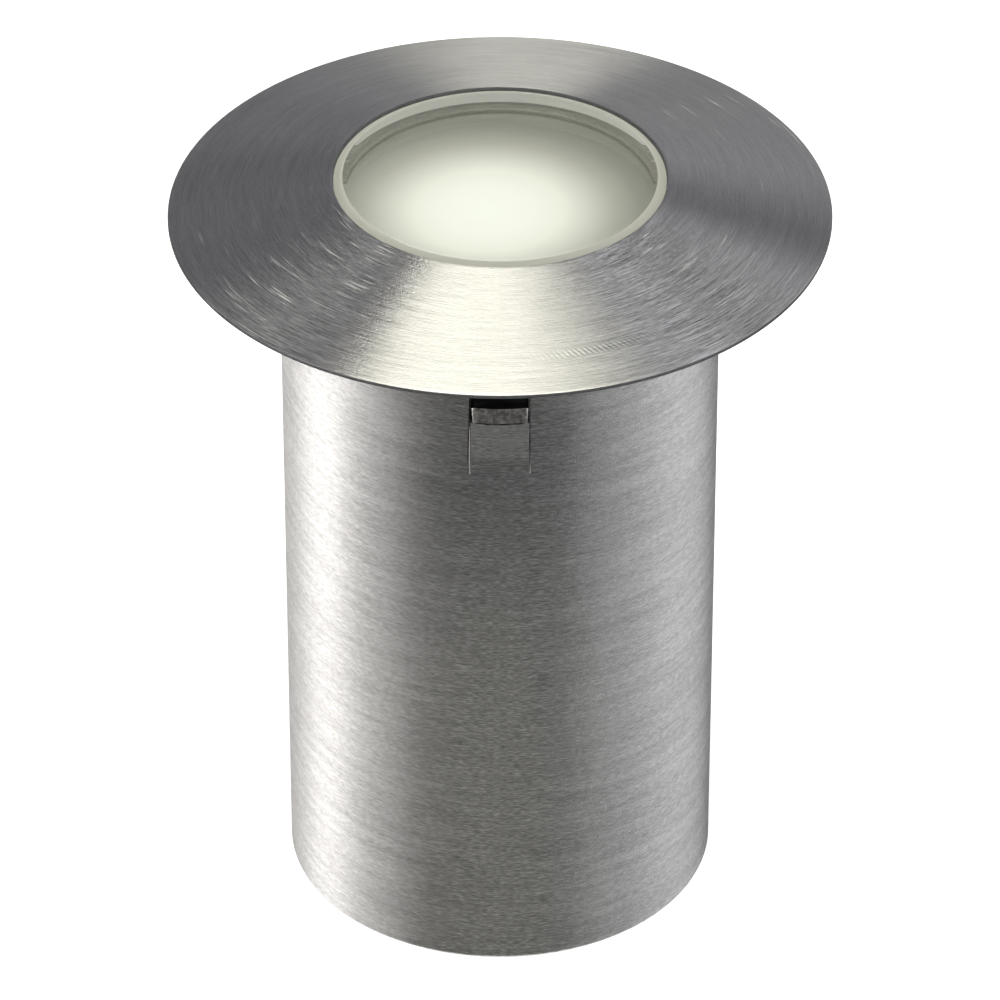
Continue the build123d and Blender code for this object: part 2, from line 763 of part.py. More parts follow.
# Base cap: closes the can and guides the button and the charge plug
seal_groove_half = base_seal_section_r + base_seal_groove
with BuildPart() as base_cap:
    with BuildSketch(Plane.XY.offset(cap_bottom_z)):
        Circle(can_r)
    extrude(amount=cap_thickness)
    chamfer(base_cap.edges().group_by(Axis.Z)[0], length=cap_edge_break)
    with BuildSketch(Plane.XY.offset(cap_top_z)):
        Circle(cap_ring_r)
        Circle(cap_ring_bore_r, mode=Mode.SUBTRACT)
    extrude(amount=cap_ring_height)
    with BuildSketch(Plane.XZ):
        with Locations((base_seal_r, base_seal_z)):
            Rectangle(2 * seal_groove_half, 2 * seal_groove_half)
        with Locations((cap_ring_r, base_seal_z)):
            Rectangle(2 * (cap_ring_r - base_seal_r), 2 * seal_groove_half)
    revolve(axis=Axis.Z, mode=Mode.SUBTRACT)
    with BuildSketch(Plane.XY.offset(cap_bottom_z)):
        with Locations((socket_x, socket_y)):
            RectangleRounded(
                socket_width + 2 * port_margin,
                socket_height + 2 * port_margin,
                socket_corner_r + port_margin,
            )
        with Locations((button_x, button_y)):
            Circle(button_stem_r + button_stem_fit)
    extrude(amount=cap_thickness, mode=Mode.SUBTRACT)
    with BuildSketch(Plane.XY.offset(cap_bottom_z)):
        with Locations((button_x, button_y)):
            Circle(button_head_r + button_fit)
    extrude(amount=button_pocket_top_z - cap_bottom_z, mode=Mode.SUBTRACT)
    for angle in cap_screw_angles:
        with BuildSketch(screw_plane(angle, cap_ring_bore_r + cap_screw_tip_wall)):
            Circle(cap_screw_r + cap_screw_fit / 2)
        extrude(amount=cap_ring_wall, mode=Mode.SUBTRACT)
base_cap.part.label = "base_cap"
export_step(base_cap.part, "parts/base_cap.step")

# Ring seal of the base cap
with BuildPart() as base_seal:
    with BuildSketch(Plane.XZ):
        with Locations((base_seal_r, base_seal_z)):
            Circle(base_seal_section_r)
    revolve(axis=Axis.Z)
base_seal.part.label = "base_seal"
export_step(base_seal.part, "parts/base_seal.step")

# Radial screws that hold the base cap in the can
with BuildPart() as cap_screws:
    for angle in cap_screw_angles:
        with BuildSketch(screw_plane(angle, can_r - cap_screw_sink)):
            Circle(cap_screw_head_r)
        extrude(amount=-cap_screw_head_height)
        with BuildSketch(screw_plane(angle, can_r - cap_screw_sink)):
            Circle(cap_screw_r)
        extrude(amount=-(can_r - cap_screw_sink - cap_ring_bore_r - 2 * cap_screw_tip_wall))
        with BuildSketch(screw_plane(angle, can_r - cap_screw_sink)):
            Rectangle(cap_screw_slot_width, 2 * cap_screw_head_r)
        extrude(amount=-cap_screw_slot_depth, mode=Mode.SUBTRACT)
cap_screws.part.label = "cap_screws"
export_step(cap_screws.part, "parts/cap_screws.step")

# Power button: dished head, stem and retaining collar
with BuildPart() as power_button:
    with BuildSketch(Plane.XY.offset(button_bottom_z)):
        with Locations((button_x, button_y)):
            Circle(button_head_r)
    extrude(amount=button_head_height)
    with BuildSketch(Plane.XY.offset(button_head_top_z)):
        with Locations((button_x, button_y)):
            Circle(button_stem_r)
    extrude(amount=button_stem_top_z - button_head_top_z)
    with BuildSketch(Plane.XY.offset(cap_top_z + button_collar_gap)):
        with Locations((button_x, button_y)):
            Circle(button_collar_r)
    extrude(amount=button_collar_height)
    with Locations((button_x, button_y, button_bottom_z - button_dish_r + button_dish_depth)):
        Sphere(button_dish_r, mode=Mode.SUBTRACT)
power_button.part.label = "power_button"
export_step(power_button.part, "parts/power_button.step")

# Rubber plug that closes the charge port
plug_seat_z = cap_bottom_z - plug_seat_gap
with BuildPart() as port_plug:
    with BuildSketch(Plane.XY.offset(plug_seat_z)):
        with Locations((socket_x, socket_y)):
            RectangleRounded(
                socket_width + 2 * (port_margin - plug_fit),
                socket_height + 2 * (port_margin - plug_fit),
                socket_corner_r + port_margin - plug_fit,
            )
    extrude(amount=plug_stem_length)
    with BuildSketch(Plane.XY.offset(plug_seat_z - plug_flange_thickness)):
        with Locations((socket_x, socket_y)):
            RectangleRounded(
                socket_width + 2 * plug_flange_margin,
                socket_height + 2 * plug_flange_margin,
                socket_corner_r + plug_flange_margin,
            )
    extrude(amount=plug_flange_thickness)
    fillet(port_plug.edges().group_by(Axis.Z)[0], radius=plug_edge_r)
    with BuildSketch(Plane.XY.offset(plug_seat_z - plug_flange_thickness)):
        with Locations((socket_x, socket_y)):
            RectangleRounded(plug_grip_length, plug_grip_width, plug_grip_width / 2 - plug_edge_r)
    extrude(amount=-plug_grip_height)
port_plug.part.label = "port_plug"
export_step(port_plug.part, "parts/port_plug.step")
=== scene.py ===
"""Recessed outdoor lamp: a turned bezel with a flush glass on a brushed sleeve with spring tongues.

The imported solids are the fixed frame. This script models the pieces that show, dresses every piece,
and sets up a plain studio with the photograph's camera. Sizes are in millimetres, meshes in metres.
"""

import json
import logging
from collections.abc import Iterator
from contextlib import contextmanager
from dataclasses import dataclass, field, replace
from enum import Enum
from math import cos, radians, sin, tan, tau

import bpy
from mathutils import Matrix, Vector, noise

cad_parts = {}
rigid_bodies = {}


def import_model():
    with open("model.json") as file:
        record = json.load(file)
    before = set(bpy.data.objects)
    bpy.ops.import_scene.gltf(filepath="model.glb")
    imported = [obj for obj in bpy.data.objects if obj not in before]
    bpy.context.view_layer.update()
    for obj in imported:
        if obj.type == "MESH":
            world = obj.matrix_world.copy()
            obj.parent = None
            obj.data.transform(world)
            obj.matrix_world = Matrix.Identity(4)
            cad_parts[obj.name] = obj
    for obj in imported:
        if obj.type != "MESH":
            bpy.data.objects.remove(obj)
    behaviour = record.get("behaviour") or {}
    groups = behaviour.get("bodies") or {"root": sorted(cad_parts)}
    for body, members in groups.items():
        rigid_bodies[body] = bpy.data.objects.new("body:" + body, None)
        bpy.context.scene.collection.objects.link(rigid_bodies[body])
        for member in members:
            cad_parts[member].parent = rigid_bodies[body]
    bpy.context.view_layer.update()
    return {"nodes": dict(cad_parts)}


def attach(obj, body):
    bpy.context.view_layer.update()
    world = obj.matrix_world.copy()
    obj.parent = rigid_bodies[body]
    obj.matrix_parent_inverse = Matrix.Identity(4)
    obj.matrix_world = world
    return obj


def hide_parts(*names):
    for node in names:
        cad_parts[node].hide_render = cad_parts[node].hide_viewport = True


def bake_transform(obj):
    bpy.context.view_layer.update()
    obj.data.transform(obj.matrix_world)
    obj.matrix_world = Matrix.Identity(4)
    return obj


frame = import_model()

log = logging.getLogger("lamp")

MM = 0.001
WELD = 1e-6
UPWARDS = Vector((0.0, 0.0, 1.0))

# Mesh density

TURN_STEPS = 256
BEZEL_STEPS = 384
TUBE_STEPS = 252
COLLAR_STEPS = 240
GRIP_RING_STEPS = 192
GRIP_RING_SIDES = 28
BUTTON_STEPS = 96
DISH_STEPS = 8
SMALL_STEPS = 48
TONGUE_COLUMNS = 30
TONGUE_BEND_ROWS = 12
CORNER_SEGMENTS = 10
SMOOTH_ANGLE = radians(28)
SQUARE_EDGE = 50.0

# Sizes that sub-assemblies share, in millimetres and degrees

SLEEVE_R = 20.0
SLEEVE_TOP_Z = 69.4
OPENING_R = 15.12
WINDOW_R = 14.0
CAN_R = 17.6
CAN_LOW_Z = 15.03
SCREW_Z = 16.83
SCREW_ANGLES = (30.0, 150.0, 270.0)
OVERRUN = 1.0

# Marks in the metal: pairs scale the marks in a radian and in a metre

LONG_MARKS = (0.22, 0.9)
CLOUDS = (0.06, 0.12)
GRIT = (4.0, 1.1)
CLUSTERS = (0.4, 0.1)
CLUSTER_START = 0.72
CLUSTER_FALL = 0.30
CLUSTER_EDGE = 0.12
SCRATCH_LINE = (0.58, 0.76)
SPECKLE_CLOUD = 0.06
ANISOTROPIC_TURN = 0.25
CLEAN_STEEL = (0.95, 0.95, 0.95)

# Wear of the bezel, with a painted sheen in the same sectors: sectors have a middle, a half width and a
# strength

SCRATCH_AND_SHEEN_COLOUR = (0.88, 0.88, 0.88)
SCRATCH_MATT = 0.6
SCRATCH_ROUGH = 0.12
STRAY_SHARE = 0.12
WEAR_AND_SHEEN_SECTORS = ((-47.0, 30.0, 0.95), (50.0, 30.0, 0.7), (128.0, 22.0, 0.45))
PAINTED_SHEEN_HAZE = 0.17
CHATTER_RADIUS = (25.7, 0.7)
CHATTER_ANGLE = (20.0, 17.0)
CHATTER_STEP = 0.46
CHATTER_SLANT = -0.6
CHATTER_DEPTH = 0.4

Profile = list[tuple[float, float]]
Colour = tuple[float, float, float]
Pair = tuple[float, float]
Triple = tuple[float, float, float]
Piece = bpy.types.Object
Material = bpy.types.Material
Socket = bpy.types.NodeSocket
Outputs = bpy.types.NodeOutputs


class Body(Enum):
    """The rigid bodies of the lamp."""

    SLEEVE = "sleeve"
    INSERT = "insert"
    TONGUE_FRONT = "tongue_front"
    TONGUE_RIGHT = "tongue_right"
    TONGUE_LEFT = "tongue_left"
    BUTTON = "power_button"
    PLUG = "port_plug"


class Brushing(Enum):
    """Which way round marks are stacked: up the axis or out from it."""

    UP = 0.0
    OUT = 1.0


# Modelling bench


def deselect_all() -> None:
    """Leaves nothing selected, so that an operator acts on one piece only."""
    for other in list(bpy.context.selected_objects):
        other.select_set(False)
    bpy.context.view_layer.objects.active = None


def take_up(piece: Piece) -> None:
    """Selects one piece alone and makes it active.

    Args:
        piece: The object to work on.
    """
    deselect_all()
    piece.select_set(True)
    bpy.context.view_layer.objects.active = piece


@contextmanager
def edit_mode(piece: Piece) -> Iterator[Piece]:
    """Opens a piece in edit mode and closes it again.

    Args:
        piece: The object to edit.
    """
    take_up(piece)
    bpy.ops.object.mode_set(mode="EDIT")
    yield piece
    bpy.ops.object.mode_set(mode="OBJECT")


def clean_shell(piece: Piece) -> None:
    """Welds doubled points and turns the faces outwards.

    Args:
        piece: The object to clean.
    """
    with edit_mode(piece):
        bpy.ops.mesh.select_all(action="SELECT")
        bpy.ops.mesh.remove_doubles(threshold=WELD)
        bpy.ops.mesh.normals_make_consistent(inside=False)


def guarded(profile: Profile, reach: float) -> Profile:
    """Adds a point near both ends of each long side, so that flat faces stay flat when shaded smooth.

    Args:
        profile: The corners of a closed profile.
        reach: How far the new points are from the corners, in millimetres.

    Returns:
        The profile with its new points.
    """
    points: Profile = []
    for (from_r, from_z), (to_r, to_z) in zip(profile, profile[1:] + profile[:1]):
        points.append((from_r, from_z))
        run = ((to_r - from_r) ** 2 + (to_z - from_z) ** 2) ** 0.5
        if run > 3 * reach:
            for share in (reach / run, 1 - reach / run):
                points.append((from_r + (to_r - from_r) * share, from_z + (to_z - from_z) * share))
    return points


def turned(name: str, profile: Profile, steps: int = TURN_STEPS, guard: float = 0.3) -> Piece:
    """Turns a closed profile round the lamp's axis, as on a lathe.

    Args:
        name: The piece's name.
        profile: Radius and height of each corner, in millimetres.
        steps: How many steps the spin has.
        guard: How far guard points are from the corners.

    Returns:
        The turned piece.
    """
    profile = guarded(profile, guard)
    deselect_all()
    bpy.ops.mesh.primitive_plane_add(size=1.0)
    piece = bpy.context.active_object
    piece.name = piece.data.name = name
    with edit_mode(piece):
        bpy.ops.mesh.select_all(action="SELECT")
        bpy.ops.mesh.merge(type="CENTER")
        bpy.ops.transform.translate(value=(profile[0][0] * MM, 0.0, profile[0][1] * MM))
        for (from_r, from_z), (to_r, to_z) in zip(profile, profile[1:] + profile[:1]):
            step = ((to_r - from_r) * MM, 0.0, (to_z - from_z) * MM)
            bpy.ops.mesh.extrude_vertices_move(TRANSFORM_OT_translate={"value": step})
        bpy.ops.mesh.select_all(action="SELECT")
        bpy.ops.mesh.remove_doubles(threshold=WELD)
        bpy.ops.mesh.spin(steps=steps, angle=tau, center=(0.0, 0.0, 0.0), axis=(0.0, 0.0, 1.0))
    clean_shell(piece)
    return piece


def apply_modifier(piece: Piece, kind: str, **settings: object) -> None:
    """Adds one modifier to a piece and applies it.

    Args:
        piece: The object to change.
        kind: The modifier's type.
        settings: The modifier's values.
    """
    take_up(piece)
    modifier = piece.modifiers.new(kind.lower(), kind)
    for key, value in settings.items():
        setattr(modifier, key, value)
    bpy.ops.object.modifier_apply(modifier=modifier.name)


def break_edges(
    piece: Piece, width: float, segments: int = 2, angle: float = 30.0, held: bool = True
) -> None:
    """Rounds off every sharp edge of a piece a little.

    Args:
        piece: The object to change.
        width: How far the rounding reaches from the edge, in millimetres.
        segments: How many faces the rounding has.
        angle: Edges that turn by more than this many degrees are rounded.
        held: Whether short edges hold the width back.
    """
    apply_modifier(
        piece,
        "BEVEL",
        width=width * MM,
        segments=segments,
        limit_method="ANGLE",
        angle_limit=radians(angle),
        use_clamp_overlap=held,
    )


def smooth(piece: Piece, angle: float = SMOOTH_ANGLE) -> None:
    """Shades a piece smooth apart from its sharp edges.

    Args:
        piece: The object to shade.
        angle: Edges that turn by more than this stay sharp.
    """
    take_up(piece)
    bpy.ops.object.shade_smooth_by_angle(angle=angle)


def block(name: str, low: Vector, high: Vector) -> Piece:
    """Adds a block between two corners, to be cut or shaped further.

    Args:
        name: The block's name.
        low: The corner with the lowest values, in millimetres.
        high: The corner with the highest values, in millimetres.

    Returns:
        The block, with its place in its mesh.
    """
    deselect_all()
    bpy.ops.mesh.primitive_cube_add(size=1.0)
    piece = bpy.context.active_object
    piece.name = piece.data.name = name
    size, middle = high - low, (high + low) / 2
    with edit_mode(piece):
        bpy.ops.mesh.select_all(action="SELECT")
        bpy.ops.transform.resize(value=tuple(size * MM))
        bpy.ops.transform.translate(value=tuple(middle * MM))
    return piece


def cut_away(piece: Piece, cutter: Piece) -> None:
    """Cuts a shape out of a piece and throws the cutter away.

    Args:
        piece: The object that is cut.
        cutter: The shape that is taken out.
    """
    apply_modifier(piece, "BOOLEAN", operation="DIFFERENCE", object=cutter, solver="EXACT")
    bpy.data.objects.remove(cutter, do_unlink=True)
    clean_shell(piece)


def add_on(piece: Piece, other: Piece) -> None:
    """Fuses a second shape onto a piece.

    Args:
        piece: The object that grows.
        other: The shape that is taken up into it.
    """
    apply_modifier(piece, "BOOLEAN", operation="UNION", object=other, solver="EXACT")
    bpy.data.objects.remove(other, do_unlink=True)
    clean_shell(piece)


def joined(name: str, pieces: list[Piece]) -> Piece:
    """Joins separate shapes into one object, as a set of like pieces.

    Args:
        name: The name of the set.
        pieces: The shapes.

    Returns:
        The set.
    """
    take_up(pieces[0])
    for piece in pieces[1:]:
        piece.select_set(True)
    bpy.ops.object.join()
    pieces[0].name = pieces[0].data.name = name
    return pieces[0]


def rounded_block(
    name: str,
    middle: Pair,
    size: Pair,
    corner_r: float,
    low_z: float,
    high_z: float,
) -> Piece:
    """Adds a block with round upright corners.

    Args:
        name: The block's name.
        middle: Its middle in plan.
        size: Its width and depth.
        corner_r: The radius of its upright corners.
        low_z: Its lower end.
        high_z: Its upper end.

    Returns:
        The block, with its place in its mesh.
    """
    half_x, half_y = size[0] / 2, size[1] / 2
    piece = block(
        name,
        Vector((middle[0] - half_x, middle[1] - half_y, low_z)),
        Vector((middle[0] + half_x, middle[1] + half_y, high_z)),
    )
    vertices = piece.data.vertices
    with edit_mode(piece):
        bpy.ops.mesh.select_mode(type="EDGE")
        bpy.ops.mesh.select_all(action="DESELECT")
        bpy.ops.object.mode_set(mode="OBJECT")
        for edge in piece.data.edges:
            ends = [vertices[index].co for index in edge.vertices]
            edge.select = abs(ends[0].z - ends[1].z) > WELD
        bpy.ops.object.mode_set(mode="EDIT")
        bpy.ops.mesh.bevel(offset=corner_r * MM, segments=CORNER_SEGMENTS, affect="EDGES")
        bpy.ops.mesh.select_mode(type="VERT")
    clean_shell(piece)
    return piece


def shift(piece: Piece, across: float, back: float) -> None:
    """Moves a mesh in plan.

    Args:
        piece: The object whose mesh is moved.
        across: The way along X, in millimetres.
        back: The way along Y, in millimetres.
    """
    piece.data.transform(Matrix.Translation((across * MM, back * MM, 0.0)))


def lay_radially(piece: Piece, angle: float, height: float) -> None:
    """Lays a mesh that was turned about the lamp's axis on its side, so that it points outwards.

    Args:
        piece: The object whose mesh is laid down.
        angle: The angle in degrees that it points to.
        height: The height of its own axis, in millimetres.
    """
    lie = Matrix.Translation((0.0, 0.0, height * MM)) @ Matrix.Rotation(radians(90.0), 4, "Y")
    piece.data.transform(lie)
    turn_about_axis(piece, angle)


def turn_about_axis(piece: Piece, angle: float) -> None:
    """Turns a mesh about the lamp's axis.

    Args:
        piece: The object whose mesh is turned.
        angle: The angle in degrees, anticlockwise seen from above.
    """
    piece.data.transform(Matrix.Rotation(radians(angle), 4, "Z"))


def rod(name: str, radius: float, start: float, end: float, steps: int) -> Piece:
    """Turns a plain rod between two heights, to be used as a drill."""
    return turned(name, [(0.0, start), (radius, start), (radius, end), (0.0, end)], steps=steps)


def radial_axes(angle: float) -> tuple[Vector, Vector]:
    """Gives the unit vectors that point outwards and sideways at an angle in degrees."""
    outwards = Vector((cos(radians(angle)), sin(radians(angle)), 0.0))
    return outwards, outwards.cross(UPWARDS)


# Shader bench


@dataclass
class NodeBench:
    """Places and joins the nodes of one material or node group."""

    tree: bpy.types.NodeTree

    def add(self, kind: str, values: dict[str, object] | None = None, **settings: object) -> bpy.types.Node:
        """Adds a node.

        Args:
            kind: The node's type.
            values: Input names and the values they get, or the sockets they are joined to.
            settings: The node's own properties.

        Returns:
            The new node.
        """
        node = self.tree.nodes.new(kind)
        for key, value in settings.items():
            setattr(node, key, value)
        self.fill(node, values or {})
        return node

    def fill(self, node: bpy.types.Node, values: dict[str, object]) -> None:
        """Feeds several inputs of a node, each by its name."""
        for key, value in values.items():
            self.feed(node.inputs[key], value)

    def feed(self, socket: Socket, value: object) -> None:
        """Sets a socket's value, or joins it to another socket."""
        if isinstance(value, Socket):
            self.tree.links.new(value, socket)
        elif isinstance(value, tuple) and len(value) == 3 and socket.type == "RGBA":
            socket.default_value = (*value, 1.0)
        else:
            socket.default_value = value

    def maths(
        self, operation: str, first: object, second: object = 0.0, third: object = 0.0
    ) -> Socket:
        """Adds a maths node and gives its result."""
        node = self.add("ShaderNodeMath", operation=operation)
        for socket, value in zip(node.inputs, (first, second, third)):
            self.feed(socket, value)
        return node.outputs[0]

    def vector_maths(self, operation: str, first: object, second: object = (0.0, 0.0, 0.0)) -> bpy.types.Node:
        """Adds a vector maths node and gives the node."""
        node = self.add("ShaderNodeVectorMath", operation=operation)
        self.feed(node.inputs[0], first)
        self.feed(node.inputs[1], second)
        return node

    def blend_colour(self, factor: object, first: object, second: object) -> Socket:
        """Adds a colour mix and gives its result."""
        node = self.add("ShaderNodeMix", data_type="RGBA")
        self.feed(node.inputs[0], factor)
        self.feed(node.inputs[6], first)
        self.feed(node.inputs[7], second)
        return node.outputs[2]

    def scale(self, vector: object, factor: object) -> Socket:
        """Multiplies a vector by a value and gives the result."""
        node = self.add("ShaderNodeVectorMath", operation="SCALE")
        self.feed(node.inputs[0], vector)
        self.feed(node.inputs["Scale"], factor)
        return node.outputs[0]

    def mix(self, factor: object, first: object, second: object) -> Socket:
        """Adds a mix of two values and gives its result."""
        values = {"Factor": factor, "A": first, "B": second}
        return self.add("ShaderNodeMix", values, data_type="FLOAT").outputs[0]

    def remap(
        self,
        value: object,
        low: float,
        high: float,
        to_low: float = 0.0,
        to_high: float = 1.0,
        soft: bool = False,
    ) -> Socket:
        """Maps a range of values to another, held at its ends.

        Args:
            value: The value to map.
            low: Where the range starts.
            high: Where the range ends.
            to_low: What its start becomes.
            to_high: What its end becomes.
            soft: Whether the ends are eased.

        Returns:
            The mapped value.
        """
        values = {"Value": value, "From Min": low, "From Max": high, "To Min": to_low, "To Max": to_high}
        kind = "SMOOTHSTEP" if soft else "LINEAR"
        return self.add("ShaderNodeMapRange", values, interpolation_type=kind).outputs[0]

    def swing(self, tone: object, middle: float, width: float) -> Socket:
        """Gives a value that follows a tone, half a width to both sides of a middle."""
        return self.maths("MULTIPLY_ADD", tone, width, middle - width / 2)

    def grain(self, place: object, scale: object, detail: float) -> Socket:
        """Adds a noise texture and gives its value."""
        values = {"Vector": place, "Scale": scale, "Detail": detail}
        return self.add("ShaderNodeTexNoise", values).outputs["Fac"]

    def bump(self, strength: float, relief: float, height: object) -> Socket:
        """Adds a bump with its relief in millimetres and gives its normal."""
        values = {"Strength": strength, "Distance": relief * MM, "Height": height}
        return self.add("ShaderNodeBump", values).outputs[0]

    def object_place(self) -> Socket:
        """Gives the point in Object coordinates."""
        return self.add("ShaderNodeTexCoord").outputs["Object"]

    def ramp(self, factor: object, stops: list[tuple[float, Colour]]) -> Socket:
        """Adds a colour ramp and gives its colour."""
        node = self.add("ShaderNodeValToRGB", {"Fac": factor})
        ramp = node.color_ramp
        while len(ramp.elements) < len(stops):
            ramp.elements.new(0.5)
        for element, (place, colour) in zip(ramp.elements, stops):
            element.position = place
            element.color = (*colour, 1.0)
        return node.outputs["Color"]


def new_group(
    name: str, inputs: dict[str, float], outputs: tuple[str, ...]
) -> tuple[NodeBench, Outputs, bpy.types.Node]:
    """Makes a shader node group with a Vector input, value inputs and value outputs.

    Args:
        name: The group's name.
        inputs: The names of the value inputs, each with the value to start with.
        outputs: The names of the outputs.

    Returns:
        The bench of the group, the sockets that it is given and the node that takes its results.
    """
    group = bpy.data.node_groups.new(name, "ShaderNodeTree")
    group.interface.new_socket("Vector", in_out="INPUT", socket_type="NodeSocketVector")
    for label, value in inputs.items():
        socket = group.interface.new_socket(label, in_out="INPUT", socket_type="NodeSocketFloat")
        socket.default_value = value
    for label in outputs:
        group.interface.new_socket(label, in_out="OUTPUT", socket_type="NodeSocketFloat")
    given = group.nodes.new("NodeGroupInput")
    return NodeBench(group), given.outputs, group.nodes.new("NodeGroupOutput")


def round_place(
    bench: NodeBench, place: Socket
) -> tuple[Socket, Socket, Socket, Socket]:
    """Works out where a point lies round the lamp's axis.

    Args:
        bench: The bench of the material or group.
        place: The point, in Object coordinates.

    Returns:
        Its height, its radius, its angle from the front and its heading as a unit vector.
    """
    parts = bench.add("ShaderNodeSeparateXYZ", {"Vector": place})
    flat = bench.add("ShaderNodeCombineXYZ", {"X": parts.outputs["X"], "Y": parts.outputs["Y"]})
    radius = bench.vector_maths("LENGTH", flat.outputs[0]).outputs["Value"]
    heading = bench.vector_maths("NORMALIZE", flat.outputs[0]).outputs[0]
    front = bench.maths("MULTIPLY", parts.outputs["Y"], -1.0)
    angle = bench.maths("ARCTAN2", parts.outputs["X"], front)
    return parts.outputs["Z"], radius, angle, heading


def streaks(
    bench: NodeBench,
    heading: object,
    along: object,
    around: object,
    pitch: object,
    detail: float = 0.0,
    stretch: Pair | None = None,
) -> Socket:
    """Adds noise that is drawn out round the lamp's axis.

    Args:
        bench: The bench of the material or group.
        heading: The point's heading as a unit vector.
        along: Its distance across the marks.
        around: How many marks there are in a radian.
        pitch: How many marks there are in a metre across them.
        detail: How many finer octaves the noise has.
        stretch: What both numbers of marks are multiplied by.

    Returns:
        The noise.
    """
    if stretch:
        around = bench.maths("MULTIPLY", around, stretch[0])
        pitch = bench.maths("MULTIPLY", pitch, stretch[1])
    lift = bench.add("ShaderNodeCombineXYZ", {"Z": bench.maths("MULTIPLY", along, pitch)})
    spot = bench.vector_maths("ADD", bench.scale(heading, around), lift.outputs[0]).outputs[0]
    return bench.grain(spot, 1.0, detail)


def make_round_marks() -> bpy.types.NodeTree:
    """Makes the group that draws the short marks of brushing and turning.

    Returns:
        A group whose Tone, Fine and Height follow dashes that run round the lamp's axis.
    """
    bench, given, result = new_group(
        "round_marks",
        {
            "Around": 27.0,
            "Pitch": 5200.0,
            "Outwards": 0.0,
            "Lean": 0.0,
            "Long Marks": 0.3,
            "Blotches": 0.3,
            "Grit": 1.0,
        },
        ("Tone", "Fine", "Height"),
    )
    height, radius, angle, heading = round_place(bench, given["Vector"])
    across = bench.mix(given["Outwards"], height, radius)
    slope = bench.maths("MULTIPLY", given["Lean"], radius)
    along = bench.maths("MULTIPLY_ADD", angle, slope, across)
    marks = (bench, heading, along, given["Around"], given["Pitch"])
    dashes = streaks(*marks, detail=1.0)
    long_marks = streaks(*marks, detail=1.0, stretch=LONG_MARKS)
    clouds = streaks(*marks, detail=1.0, stretch=CLOUDS)
    grit = streaks(*marks, stretch=GRIT)
    fine = bench.mix(given["Long Marks"], dashes, long_marks)
    cloud = bench.maths("SUBTRACT", clouds, 0.5)
    tone = bench.maths("MULTIPLY_ADD", cloud, given["Blotches"], fine)
    relief = bench.maths("MULTIPLY_ADD", grit, given["Grit"], fine)
    bench.fill(result, {"Tone": tone, "Fine": fine, "Height": relief})
    return bench.tree


def make_scratches() -> bpy.types.NodeTree:
    """Makes the group that draws stray scratches, as thin arcs in clusters round the lamp's axis.

    Returns:
        A group whose Mask is 1 in a deep scratch, less in a faint one and 0 elsewhere.
    """
    bench, given, result = new_group("scratches", {"Around": 7.0, "Pitch": 15000.0, "Share": 0.5}, ("Mask",))
    _, radius, _, heading = round_place(bench, given["Vector"])
    marks = (bench, heading, radius, given["Around"], given["Pitch"])
    line = bench.remap(streaks(*marks), *SCRATCH_LINE)
    clusters = streaks(*marks, detail=1.0, stretch=CLUSTERS)
    threshold = bench.maths("MULTIPLY_ADD", given["Share"], -CLUSTER_FALL, CLUSTER_START)
    gate = bench.remap(bench.maths("SUBTRACT", clusters, threshold), 0.0, CLUSTER_EDGE)
    bench.fill(result, {"Mask": bench.maths("MULTIPLY", line, gate)})
    return bench.tree


def make_speckle() -> bpy.types.NodeTree:
    """Makes the group for fine even grain, as in moulded plastic, rubber and ground glass.

    Returns:
        A group whose Tone and Height follow a fine grain with some larger cloudiness.
    """
    bench, given, result = new_group("speckle", {"Scale": 4000.0, "Cloud": 0.3}, ("Tone", "Height"))
    place, scale = given["Vector"], given["Scale"]
    grain = bench.grain(place, scale, 2.0)
    cloud = bench.grain(place, bench.maths("MULTIPLY", scale, SPECKLE_CLOUD), 3.0)
    drift = bench.maths("SUBTRACT", cloud, 0.5)
    tone = bench.maths("MULTIPLY_ADD", drift, given["Cloud"], grain)
    bench.fill(result, {"Tone": tone, "Height": grain})
    return bench.tree


ROUND_MARKS = make_round_marks()
SCRATCHES = make_scratches()
SPECKLE = make_speckle()


def speckle(bench: NodeBench, place: Socket, scale: float) -> Outputs:
    """Adds the fine even grain to a material and gives its Tone and its Height."""
    return bench.add("ShaderNodeGroup", {"Vector": place, "Scale": scale}, node_tree=SPECKLE).outputs


def bare_material(name: str) -> tuple[Material, NodeBench]:
    """Makes a material that has no nodes yet.

    Args:
        name: The material's name.

    Returns:
        The material and the bench for its nodes.
    """
    material = bpy.data.materials.new(name)
    material.use_nodes = True
    material.node_tree.nodes.clear()
    return material, NodeBench(material.node_tree)


def new_material(name: str) -> tuple[Material, NodeBench, bpy.types.Node]:
    """Makes a material with an empty Principled shader.

    Args:
        name: The material's name.

    Returns:
        The material, the bench for its nodes and its shader node.
    """
    material, bench = bare_material(name)
    shader = bench.add("ShaderNodeBsdfPrincipled")
    bench.add("ShaderNodeOutputMaterial", {"Surface": shader.outputs[0]})
    return material, bench, shader


